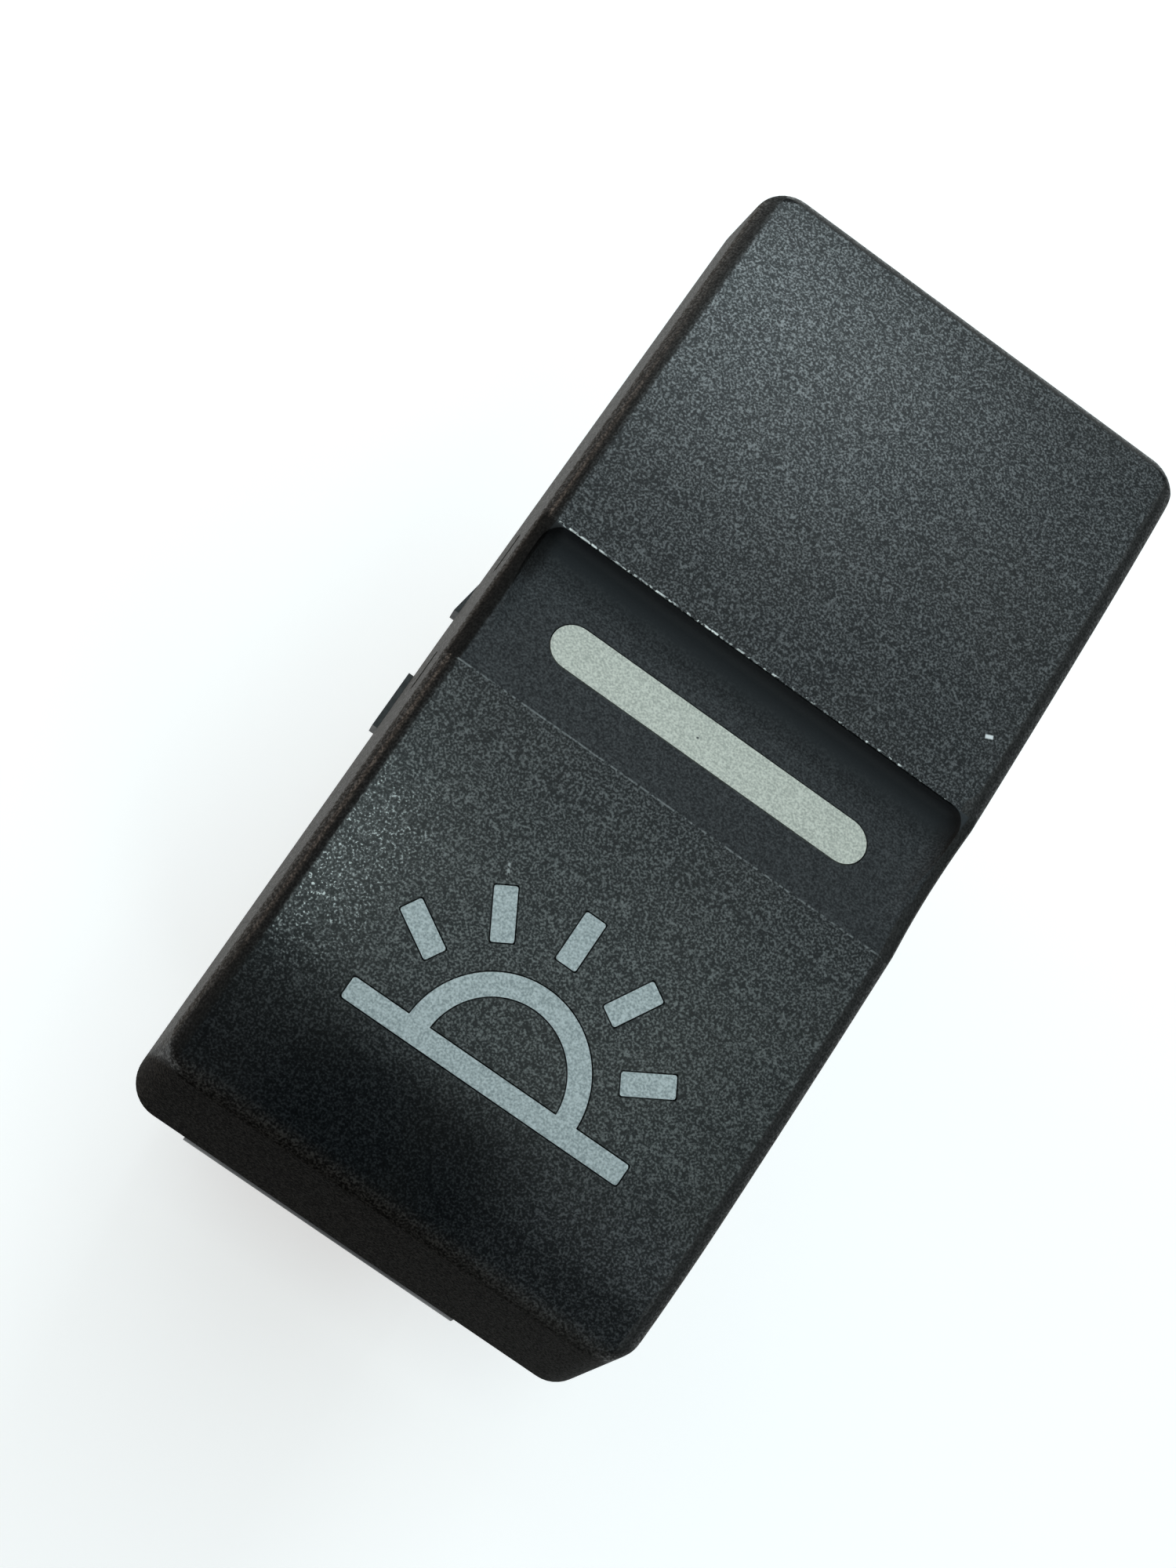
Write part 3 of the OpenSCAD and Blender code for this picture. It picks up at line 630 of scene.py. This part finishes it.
def make_cap():
    """The cap and the lamp sign let into it."""
    cap = crowned_block("cap_shell", 0.0, CORNER_RADIUS, END_EDGE, CAP_FLOOR)
    work_on(cap, rim_recess(RAMP_CLEAR), "DIFFERENCE")
    work_on(cap, band_recess(), "DIFFERENCE")
    round_notch(cap)
    work_on(cap, side_rounding(), "INTERSECT")
    work_on(cap, notch_rounding(), "INTERSECT")
    rise = math.tan(math.radians(SKIRT_RISE))
    slice_off(cap, (0, 0, APEX_Z), Vector((0, rise, -1)).normalized())
    slice_off(cap, (0, 0, APEX_Z), Vector((0, -rise, -1)).normalized())
    bed = crowned_block("sign_bed", SIGN_DEPTH, CORNER_RADIUS / 2, 0.0, HOLLOW_FLOOR)
    sign = sign_stencil("lamp_sign", 0.0)
    work_on(sign, bed, "DIFFERENCE", keep=True)
    work_on(sign, cap, "INTERSECT", keep=True)
    groove = sign_stencil("sign_groove", SIGN_GROOVE)
    work_on(groove, bed, "DIFFERENCE")
    hollow = crowned_block("cap_hollow", WALL, CORNER_RADIUS / 2, 0.0, HOLLOW_FLOOR)
    work_on(hollow, band_backing(), "DIFFERENCE")
    work_on(cap, hollow, "DIFFERENCE")
    work_on(cap, bar_window(), "DIFFERENCE")
    work_on(cap, groove, "DIFFERENCE")
    inside = [light_box()]
    inside += [deck_boss(side, end) for side in (-1, 1) for end in (-1, 1)]
    inside += [deck_hook(side, end) for side in (-1, 1) for end in (-1, 1)]
    take(cap)
    for piece in inside:
        piece.select_set(True)
    bpy.ops.object.join()
    smooth(cap)
    smooth(sign)
    return cap, sign


cap, sign = make_cap()
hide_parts("rocker_cap")
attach(cap, "rocker")
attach(sign, "rocker")

# Each coil spring gets a mesh of its own
for side, x in (("left", -POLE_OFFSET), ("right", POLE_OFFSET)):
    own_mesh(nodes["plunger_spring_" + side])


# Finishes: every one is worked out from the place on the piece, in metres


def add(tree, kind, values=None, **settings):
    """A node with its settings and the values of its own sockets."""
    node = tree.nodes.new(kind)
    for name, setting in settings.items():
        setattr(node, name, setting)
    for name, value in (values or {}).items():
        node.inputs[name].default_value = value
    return node


def feed(tree, socket, source):
    """Links a source to a socket, or writes a number into it."""
    if isinstance(source, (int, float)):
        socket.default_value = source
    else:
        tree.links.new(source, socket)


def maths(tree, operation, first, second=0.0):
    node = add(tree, "ShaderNodeMath", operation=operation)
    feed(tree, node.inputs[0], first)
    feed(tree, node.inputs[1], second)
    return node.outputs[0]


def product(tree, first, *others):
    for other in others:
        first = maths(tree, "MULTIPLY", first, other)
    return first


def rest_of(tree, mask):
    return maths(tree, "SUBTRACT", 1.0, mask)


def spread(tree, source, low, high, out_low=0.0, out_high=1.0):
    """A soft step: out_low below low, out_high above high."""
    node = add(tree, "ShaderNodeMapRange", interpolation_type="SMOOTHSTEP")
    tree.links.new(source, node.inputs["Value"])
    node.inputs["From Min"].default_value = low
    node.inputs["From Max"].default_value = high
    node.inputs["To Min"].default_value = out_low
    node.inputs["To Max"].default_value = out_high
    return node.outputs["Result"]


def past(tree, place, low, high, out_low=0.0, out_high=1.0):
    """The same along one axis, in millimetres."""
    return spread(tree, place, low * MM, high * MM, out_low, out_high)


def near(tree, source, middle, half, soft):
    """A mask round one value of a coordinate, in millimetres."""
    away = maths(tree, "ABSOLUTE", maths(tree, "SUBTRACT", source, middle * MM))
    return past(tree, away, half, half + soft, 1.0, 0.0)


def tones(tree, source, stops):
    """Colours by level, dark to light."""
    node = add(tree, "ShaderNodeValToRGB")
    ramp = node.color_ramp
    while len(ramp.elements) < len(stops):
        ramp.elements.new(0.5)
    for element, (place, colour) in zip(ramp.elements, stops):
        element.position = place
        element.color = (*colour, 1)
    tree.links.new(source, node.inputs["Fac"])
    return node.outputs["Color"]


def blend(tree, mask, under, over):
    """Puts one colour over another where the mask is; a colour may be a socket or three numbers."""
    node = add(tree, "ShaderNodeMix", data_type="RGBA")
    feed(tree, node.inputs[0], mask)
    for socket, colour in ((node.inputs[6], under), (node.inputs[7], over)):
        if isinstance(colour, tuple):
            socket.default_value = (*colour, 1)
        else:
            tree.links.new(colour, socket)
    return node.outputs[2]


def new_finish(name):
    material = bpy.data.materials.new(name)
    material.use_nodes = True
    tree = material.node_tree
    shader = tree.nodes["Principled BSDF"]
    place = add(tree, "ShaderNodeTexCoord").outputs["Object"]
    return material, tree, shader, place


def new_group(name, outputs):
    """A shared effect: it takes the place and a scale, and gives levels from 0 to 1."""
    group = bpy.data.node_groups.new(name, "ShaderNodeTree")
    group.interface.new_socket("Place", in_out="INPUT", socket_type="NodeSocketVector")
    group.interface.new_socket("Scale", in_out="INPUT", socket_type="NodeSocketFloat")
    for output in outputs:
        group.interface.new_socket(output, in_out="OUTPUT", socket_type="NodeSocketFloat")
    return group, group.nodes.new("NodeGroupInput"), group.nodes.new("NodeGroupOutput")


def use_group(tree, group, place, scale):
    node = add(tree, "ShaderNodeGroup", node_tree=group)
    tree.links.new(place, node.inputs["Place"])
    node.inputs["Scale"].default_value = scale
    return node.outputs


def noise(tree, place, scale):
    node = add(tree, "ShaderNodeTexNoise", {"Detail": 1.0, "Roughness": 0.5})
    tree.links.new(place, node.inputs["Vector"])
    feed(tree, node.inputs["Scale"], scale)
    return node.outputs["Fac"]


def grain_group():
    """Moulded grain: a fine height, single bright specks and broad clouds."""
    group, given, out = new_group("mould_grain", ("Height", "Speck", "Cloud"))
    place, scale = given.outputs["Place"], given.outputs["Scale"]
    fine = noise(group, place, scale)
    coarse = noise(group, place, product(group, scale, 0.4))
    height = maths(group, "ADD", product(group, fine, 0.8), product(group, coarse, 0.2))
    group.links.new(height, out.inputs["Height"])
    group.links.new(spread(group, fine, 0.6, 0.74), out.inputs["Speck"])
    cloud = noise(group, place, product(group, scale, 0.018))
    group.links.new(spread(group, cloud, 0.35, 0.65), out.inputs["Cloud"])
    return group


GRAIN = grain_group()

# Scales of the grain and of the noise in the worn places, per metre
FRONT_GRAIN = 10500.0
METAL_GRAIN = 9000.0
BEAD_SCALE = 5600.0
LIP_SCALE = 2600.0
PATCH_SCALE = 1700.0

# Where the cap's finish changes softly, from the middle of the switch, in millimetres
SIDE_WALLS = (10.62, 10.8)
SIDE_EDGES = (10.06, 10.18)
BAND_EDGES = (10.22, 10.34)
UPPER_END = (21.68, 21.84)
LOWER_END = (-22.2, -21.4)
LOWER_WALL = (-22.4, -21.9)
BAND_FOOT = (2.2, 3.1)
LIP_Y = (3.5, 3.62)
LIP_START = (-10.06, -9.98)
LIP_CORNER = (8.75, 4.9)
LIP_CORNER_SQUARES = (1.68, 1.92)
LINE_HALF = 11.0
LINE_RISE = 0.04

# Middles of the marks, in millimetres
GLINT_Y = -12.4
SCRATCH_PLACE = (-3.88, -8.98)
CHIP_PLACE = (9.23, 6.88)
SPECK_PLACE = (-0.57, -0.07)


def raise_grain(tree, shader, height, strength, distance):
    node = add(tree, "ShaderNodeBump", {"Strength": strength, "Distance": distance * MM})
    tree.links.new(height, node.inputs["Height"])
    tree.links.new(node.outputs["Normal"], shader.inputs["Normal"])


def worn_line(tree, x, y, z, line_y, low_z, half, beads, wear, soft):
    """A line across the cap, broken into beads and weaker towards the right."""
    on_line = near(tree, y, line_y, half, half)
    strength = past(tree, x, -LINE_HALF, LINE_HALF, *wear)
    broken = spread(tree, maths(tree, "ADD", beads, strength), 1.0 - soft, 1.0 + soft)
    return product(tree, on_line, past(tree, z, low_z, low_z + LINE_RISE), broken)


def fleck(tree, x, y, middle, half, degrees, soft):
    """A small long mark at one place on the front, turned by some degrees."""
    cos, sin = math.cos(math.radians(degrees)), math.sin(math.radians(degrees))
    dx = maths(tree, "SUBTRACT", x, middle[0] * MM)
    dy = maths(tree, "SUBTRACT", y, middle[1] * MM)
    along = maths(tree, "ADD", product(tree, dx, cos), product(tree, dy, sin))
    across = maths(tree, "SUBTRACT", product(tree, dy, cos), product(tree, dx, sin))
    return product(tree, near(tree, along, 0.0, half[0], soft), near(tree, across, 0.0, half[1], soft))


# Tones of the front: single ones, or some by the level of the grain
FRONT_TONES = (
    (0.34, (0.0024, 0.003, 0.0035)),
    (0.5, (0.0052, 0.0064, 0.0074)),
    (0.66, (0.013, 0.0155, 0.017)),
)
FRONT_CLOUD = (0.0085, 0.0082, 0.0074)
BAND_TONES = (
    (0.34, (0.023, 0.0238, 0.0252)),
    (0.5, (0.0388, 0.0408, 0.0428)),
    (0.66, (0.061, 0.0636, 0.0666)),
)
# Painted light: the band's foot under the step is coloured lighter, lifting its shade
FOOT_LIGHT_TONE = (0.046, 0.05, 0.054)
# Painted light: the step wall under the lip is coloured lighter grey
STEP_WALL_LIGHT_TONE = (0.062, 0.065, 0.069)
EDGE_TONES = ((0.34, (0.0085, 0.0081, 0.0078)), (0.66, (0.0175, 0.0165, 0.0157)))
# Painted light: the rounding's lighter tones on the right and in the upper half
LIT_EDGE_TONES = ((0.34, (0.02, 0.0195, 0.019)), (0.66, (0.043, 0.0415, 0.0405)))
# The side walls' dark colour with a painted warm brown reflection
SIDE_TONES_WITH_REFLECTION = ((0.34, (0.019, 0.0155, 0.0125)), (0.66, (0.047, 0.0395, 0.0335)))
# Painted highlight: the rounding at the upper end is coloured light
UPPER_END_HIGHLIGHT_TONE = (0.06, 0.0575, 0.055)
# Painted shade: the lower end is darker at the left and lighter towards the right, with a painted warm
# reflection
LOWER_END_SHADE_TONES = (
    (0.38, (0.0045, 0.0037, 0.0032)),
    (0.5, (0.016, 0.0137, 0.0122)),
    (0.62, (0.038, 0.033, 0.029)),
)
LOWER_RIGHT_SHADE_TONES = ((0.38, (0.014, 0.0127, 0.0115)), (0.62, (0.052, 0.0478, 0.044)))
# Painted glints: light specks near the left edge of the lower half
GLINT_TONE = (0.5, 0.54, 0.53)
CREASE_TONE = (0.125, 0.132, 0.134)
LIP_TONES = ((0.36, (0.16, 0.17, 0.17)), (0.6, (0.8, 0.82, 0.8)))
SCRATCH_TONE = (0.26, 0.275, 0.27)
CHIP_TONE = (0.78, 0.79, 0.8)
SPECK_TONE = (0.05, 0.052, 0.05)


def edge_and_shade_mask(tree, x, y):
    """The rounding along both sides, round the right end of the lip and past the ends of the band, with
    painted shade on the crest by the lip's right end and at the band's left end.
    """
    aside = maths(tree, "ABSOLUTE", x)
    above_lip = past(tree, y, *LIP_Y)
    below_lip = rest_of(tree, above_lip)
    beside = maths(tree, "MAXIMUM", maths(tree, "SUBTRACT", x, LIP_CORNER[0] * MM), 0.0)
    below = maths(tree, "MAXIMUM", maths(tree, "SUBTRACT", LIP_CORNER[1] * MM, y), 0.0)
    corner = maths(tree, "ADD", product(tree, beside, beside), product(tree, below, below))
    corner = spread(tree, corner, *(square * MM ** 2 for square in LIP_CORNER_SQUARES))
    # Painted shade: the crest by the lip's right end and the band's left end take the rounding's darker
    # colour
    right_crest_shade = product(tree, corner, past(tree, x, 9.74, 9.9), above_lip)
    right_end = product(tree, past(tree, x, 5.0, 6.0), past(tree, y, -1.8, 0.4), below_lip)
    left_end_shade = product(tree, near(tree, y, 2.6, 0.9, 0.9), below_lip, past(tree, x, -9.95, -9.3, 0.7, 0.0))
    edge = product(tree, past(tree, aside, *SIDE_EDGES), rest_of(tree, right_end))
    for mask in (past(tree, aside, *BAND_EDGES), right_crest_shade, left_end_shade):
        edge = maths(tree, "MAXIMUM", edge, mask)
    return edge


def cap_finish():
    """Near black moulded plastic: a sparkling grain on the front, walls with little sheen, worn lip and
    crease, painted glints at the left and painted light and shade on the step, the edges and the ends.
    """
    material, tree, shader, place = new_finish("cap_plastic")
    grain = use_group(tree, GRAIN, place, FRONT_GRAIN)
    height = grain["Height"]
    split = add(tree, "ShaderNodeSeparateXYZ")
    tree.links.new(place, split.inputs[0])
    x, y, z = split.outputs
    lip_z = crown(STEP_Y)

    # Where the walls, the rounded edges, the band and the step are
    sides = past(tree, maths(tree, "ABSOLUTE", x), *SIDE_WALLS)
    front = rest_of(tree, sides)
    edge = edge_and_shade_mask(tree, x, y)
    upper_end_highlight = past(tree, y, *UPPER_END)
    lower_end_shade = past(tree, y, *LOWER_END, 1.0, 0.0)
    end_wall = past(tree, y, *LOWER_WALL, 1.0, 0.0)
    band = near(tree, y, (STEP_Y + CREASE_Y) / 2, (STEP_Y - CREASE_Y) / 2 - 0.03, 0.03)
    band = product(tree, band, front)
    # The band's foot under the step, which takes painted light
    foot = product(tree, band, past(tree, y, *BAND_FOOT))
    under_lip = past(tree, z, lip_z - 0.24, lip_z - 0.14, 1.0, 0.0)
    # The step wall under the lip, which takes painted light
    lit_step_wall = product(tree, near(tree, y, STEP_Y, 0.1, 0.2), under_lip, front)
    # Painted shade: a patch below the sign with a weaker coat
    shade_patch = product(tree, near(tree, x, -2.0, 2.0, 6.0), past(tree, y, -19.0, -16.0, 1.0, 0.0))

    # Colours, from the plain front to the walls, with painted light and shade on the step, the edges and
    # the ends
    body = tones(tree, height, FRONT_TONES)
    colour = blend(tree, grain["Cloud"], body, blend(tree, 0.4, body, FRONT_CLOUD))
    colour = blend(tree, band, colour, tones(tree, height, BAND_TONES))
    colour = blend(tree, foot, colour, FOOT_LIGHT_TONE)
    colour = blend(tree, lit_step_wall, colour, STEP_WALL_LIGHT_TONE)
    # Painted light: the rounded edges are lighter on the right and in the upper half
    lit_edge_side = maths(tree, "MAXIMUM", past(tree, x, -5.0, 5.0), past(tree, y, 2.0, 16.0))
    edge_body_and_light = blend(tree, lit_edge_side, tones(tree, height, EDGE_TONES), tones(tree, height, LIT_EDGE_TONES))
    colour = blend(tree, edge, colour, edge_body_and_light)
    # The side walls, dark with a painted warm reflection
    colour = blend(tree, sides, colour, tones(tree, height, SIDE_TONES_WITH_REFLECTION))
    # Painted highlight on the upper end
    colour = blend(tree, upper_end_highlight, colour, UPPER_END_HIGHLIGHT_TONE)
    # Painted shade on the lower end, darker at the left than at the right
    end_shade_tones = tones(tree, height, LOWER_END_SHADE_TONES)
    end_shade_tones = blend(tree, past(tree, x, -2.0, 12.0), end_shade_tones, tones(tree, height, LOWER_RIGHT_SHADE_TONES))
    colour = blend(tree, lower_end_shade, colour, end_shade_tones)

    # Painted glints in a patch at the left, and wear: the crease, the lip, a scratch and a chip
    patches = spread(tree, noise(tree, place, PATCH_SCALE), 0.36, 0.62, 0.25, 1.0)
    glint = product(
        tree, past(tree, x, -10.1, -6.0, 1.0, 0.0), near(tree, y, GLINT_Y, 1.6, 3.6),
        spread(tree, edge, 0.0, 0.6, 1.0, 0.0), patches, grain["Speck"],
    )
    colour = blend(tree, glint, colour, GLINT_TONE)
    beads = noise(tree, place, BEAD_SCALE)
    crease = worn_line(tree, x, y, z, CREASE_Y, CREASE_Z - 0.06, 0.025, beads, (0.54, 0.5), 0.08)
    colour = blend(tree, crease, colour, CREASE_TONE)
    lip = worn_line(tree, x, y, z, STEP_Y + 0.02, lip_z - 0.1, 0.035, beads, (0.56, 0.33), 0.03)
    lip = product(tree, lip, past(tree, x, *LIP_START))
    colour = blend(tree, lip, colour, tones(tree, noise(tree, place, LIP_SCALE), LIP_TONES))
    scratch = fleck(tree, x, y, SCRATCH_PLACE, (0.34, 0.03), 120.0, 0.05)
    scratch = product(tree, scratch, spread(tree, beads, 0.46, 0.6))
    colour = blend(tree, scratch, colour, SCRATCH_TONE)
    chip = fleck(tree, x, y, CHIP_PLACE, (0.14, 0.05), 25.0, 0.06)
    colour = blend(tree, chip, colour, CHIP_TONE)
    tree.links.new(colour, shader.inputs["Base Color"])

    # A coat that sparkles on the grain, and less on the edges, the lower end, the band, the step wall and
    # one patch below the sign, where the weaker coat is painted shade
    sheen = spread(tree, height, 0.42, 0.72, 0.2, 1.0)
    for mask, level in ((edge, 0.4), (end_wall, 0.0), (band, 0.06), (lit_step_wall, 0.06), (shade_patch, 0.4)):
        sheen = product(tree, sheen, spread(tree, mask, 0.0, 1.0, 1.0, level))
    tree.links.new(sheen, shader.inputs["Coat Weight"])
    shader.inputs["Coat Roughness"].default_value = 0.28
    shader.inputs["Coat IOR"].default_value = 1.7
    shader.inputs["Specular IOR Level"].default_value = 0.001
    tree.links.new(spread(tree, height, 0.3, 0.7, 0.5, 0.4), shader.inputs["Roughness"])
    raise_grain(tree, shader, height, 0.5, 0.03)
    return material


def milky_finish(name, low, high, roughness, speck=None):
    """Milky moulded plastic with a faint grain and, on the light bar, one dark speck."""
    material, tree, shader, place = new_finish(name)
    grain = use_group(tree, GRAIN, place, FRONT_GRAIN)
    body = tones(tree, grain["Height"], ((0.36, low), (0.64, high)))
    if speck:
        split = add(tree, "ShaderNodeSeparateXYZ")
        tree.links.new(place, split.inputs[0])
        mark = fleck(tree, split.outputs[0], split.outputs[1], speck, (0.035, 0.025), 20.0, 0.035)
        body = blend(tree, mark, body, SPECK_TONE)
    tree.links.new(body, shader.inputs["Base Color"])
    shader.inputs["Roughness"].default_value = roughness
    shader.inputs["Specular IOR Level"].default_value = 0.35
    raise_grain(tree, shader, grain["Height"], 0.3, 0.02)
    return material


def moulded_finish(name, low, high, roughness, grain_scale, depth):
    """Plain moulded plastic for the pieces behind the front."""
    material, tree, shader, place = new_finish(name)
    grain = use_group(tree, GRAIN, place, grain_scale)
    tree.links.new(tones(tree, grain["Cloud"], ((0.0, low), (1.0, high))), shader.inputs["Base Color"])
    level = spread(tree, grain["Height"], 0.3, 0.7, roughness + 0.06, roughness - 0.06)
    tree.links.new(level, shader.inputs["Roughness"])
    raise_grain(tree, shader, grain["Height"], 0.35, depth)
    return material


def metal_finish(name, low, high, roughness):
    """Drawn or stamped metal, a little dulled in clouds."""
    material, tree, shader, place = new_finish(name)
    grain = use_group(tree, GRAIN, place, METAL_GRAIN)
    tree.links.new(tones(tree, grain["Cloud"], ((0.0, low), (1.0, high))), shader.inputs["Base Color"])
    level = spread(tree, grain["Cloud"], 0.0, 1.0, roughness + 0.1, roughness - 0.05)
    tree.links.new(level, shader.inputs["Roughness"])
    shader.inputs["Metallic"].default_value = 1.0
    raise_grain(tree, shader, grain["Height"], 0.15, 0.01)
    return material


finishes = {
    "cap_plastic": cap_finish(),
    "lens_plastic": milky_finish(
        "lens_plastic", (0.366, 0.376, 0.33), (0.633, 0.638, 0.564), 0.42, SPECK_PLACE
    ),
    "nylon": moulded_finish("nylon", (0.62, 0.59, 0.5), (0.7, 0.675, 0.585), 0.45, 3000.0, 0.01),
    "housing_plastic": moulded_finish(
        "housing_plastic", (0.0115, 0.012, 0.0135), (0.0165, 0.017, 0.0185), 0.5, 5200.0, 0.02
    ),
    "spring_steel": metal_finish("spring_steel", (0.5, 0.505, 0.51), (0.6, 0.605, 0.61), 0.28),
    "brass": metal_finish("brass", (0.6, 0.42, 0.17), (0.76, 0.57, 0.27), 0.32),
    "contact_silver": metal_finish("contact_silver", (0.7, 0.7, 0.68), (0.82, 0.82, 0.8), 0.28),
    "board": moulded_finish("board", (0.022, 0.115, 0.05), (0.035, 0.15, 0.07), 0.32, 4000.0, 0.006),
    "lamp_resin": milky_finish("lamp_resin", (0.78, 0.76, 0.62), (0.85, 0.83, 0.7), 0.2),
    "resistor": moulded_finish(
        "resistor", (0.016, 0.0145, 0.013), (0.024, 0.022, 0.018), 0.5, 6000.0, 0.01
    ),
}
# The retaining clips are given a near black steel
clip_finish = metal_finish("dark_clip_steel", (0.022, 0.022, 0.024), (0.036, 0.036, 0.038), 0.4)
sign_finish = milky_finish("sign_grey", (0.268, 0.31, 0.315), (0.525, 0.577, 0.582), 0.42)


def dress(piece, material):
    piece.data.materials.clear()
    piece.data.materials.append(material)


for part in frame["record"]["subparts"]:
    piece = nodes[part["node"]]
    if not piece.material_slots:
        piece.data.materials.append(finishes[part["material_slot"]])
    for slot in piece.material_slots:
        slot.material = finishes[part["material_slot"]]
for clip in ("retaining_clip_upper", "retaining_clip_lower"):
    for slot in nodes[clip].material_slots:
        slot.material = clip_finish
dress(cap, finishes["cap_plastic"])
dress(sign, sign_finish)


# Stage: floor, light and camera, with lengths in millimetres and angles in degrees
FLOOR_GAP = 0.2
FLOOR_GLOW = 0.5
DAYLIGHT = (0.81, 0.96, 1.0)
FOCAL_LENGTH = 51.17
CAMERA_PLACE = (-10.078, -24.464, 99.275)
CAMERA_TURN = (8.4917, -11.3152, 33.8739)


def stage_floor():
    """A white floor that glows to the camera and in reflections, but lights nothing itself."""
    bpy.ops.object.select_all(action="DESELECT")
    bpy.ops.mesh.primitive_plane_add(size=4, location=(0, 0, cad_box[0][2] - FLOOR_GAP * MM))
    floor = named("floor")
    settle(floor)
    material = bpy.data.materials.new("floor_white")
    material.use_nodes = True
    tree = material.node_tree
    tree.nodes.clear()
    path = add(tree, "ShaderNodeLightPath").outputs
    seen = maths(tree, "MAXIMUM", path["Is Camera Ray"], path["Is Glossy Ray"])
    seen = maths(tree, "MAXIMUM", seen, path["Is Transmission Ray"])
    diffuse = add(tree, "ShaderNodeBsdfDiffuse", {"Color": (0.8, 0.8, 0.8, 1)})
    glow = add(tree, "ShaderNodeEmission")
    tree.links.new(product(tree, seen, FLOOR_GLOW), glow.inputs["Strength"])
    both = add(tree, "ShaderNodeAddShader")
    tree.links.new(diffuse.outputs[0], both.inputs[0])
    tree.links.new(glow.outputs[0], both.inputs[1])
    out = add(tree, "ShaderNodeOutputMaterial")
    tree.links.new(both.outputs[0], out.inputs["Surface"])
    floor.data.materials.append(material)


def soft_light(name, place, target, size, power, colour):
    """A rectangular light that faces its target; place, target and size are in metres."""
    lamp = bpy.data.lights.new(name, "AREA")
    lamp.shape = "RECTANGLE"
    lamp.size = size[0]
    lamp.size_y = size[1]
    lamp.energy = power
    lamp.color = colour
    stand = bpy.data.objects.new(name, lamp)
    bpy.context.scene.collection.objects.link(stand)
    stand.location = place
    aim = Vector(target) - Vector(place)
    stand.rotation_euler = aim.to_track_quat("-Z", "Y").to_euler()


def stage_light():
    world = bpy.data.worlds.new("studio")
    world.use_nodes = True
    sky = world.node_tree.nodes["Background"].inputs
    sky["Color"].default_value = (0.9, 0.94, 1.0, 1)
    sky["Strength"].default_value = 0.1
    bpy.context.scene.world = world
    soft_light("ceiling", (-0.06, 0.5, 0.6), (-0.06, 0.5, 0.0), (0.86, 0.86), 3.25, DAYLIGHT)
    soft_light("window", (-0.01, 0.42, 0.49), (0, 0.012, 0.014), (0.15, 0.26), 0.66, DAYLIGHT)
    soft_light("spot", (-0.07, 0.0, 0.6), (0, 0, 0.014), (0.08, 0.08), 0.38, (0.83, 1.0, 0.99))
    soft_light("ring_fill", (0.1, -0.02, 0.6), (0, -0.01, 0.014), (0.2, 0.08), 0.22, (0.81, 1.0, 0.98))
    soft_light("right_fill", (0.27, -0.27, 0.6), (0, -0.015, 0.014), (0.14, 0.3), 0.4, DAYLIGHT)
    soft_light("warm_side", (-0.3, 0.06, 0.05), (0, 0, 0.005), (0.2, 0.12), 0.3, (1.0, 0.82, 0.68))


def stage_camera():
    lens = bpy.data.cameras.new("camera")
    lens.sensor_fit = "VERTICAL"
    lens.sensor_height = 36.0
    lens.sensor_width = 27.0
    lens.lens = FOCAL_LENGTH
    lens.clip_start = 0.001
    camera = bpy.data.objects.new("camera", lens)
    bpy.context.scene.collection.objects.link(camera)
    camera.location = [c * MM for c in CAMERA_PLACE]
    camera.rotation_euler = [math.radians(a) for a in CAMERA_TURN]
    bpy.context.scene.camera = camera


stage_floor()
stage_light()
stage_camera()
bpy.context.scene.view_settings.view_transform = "Standard"
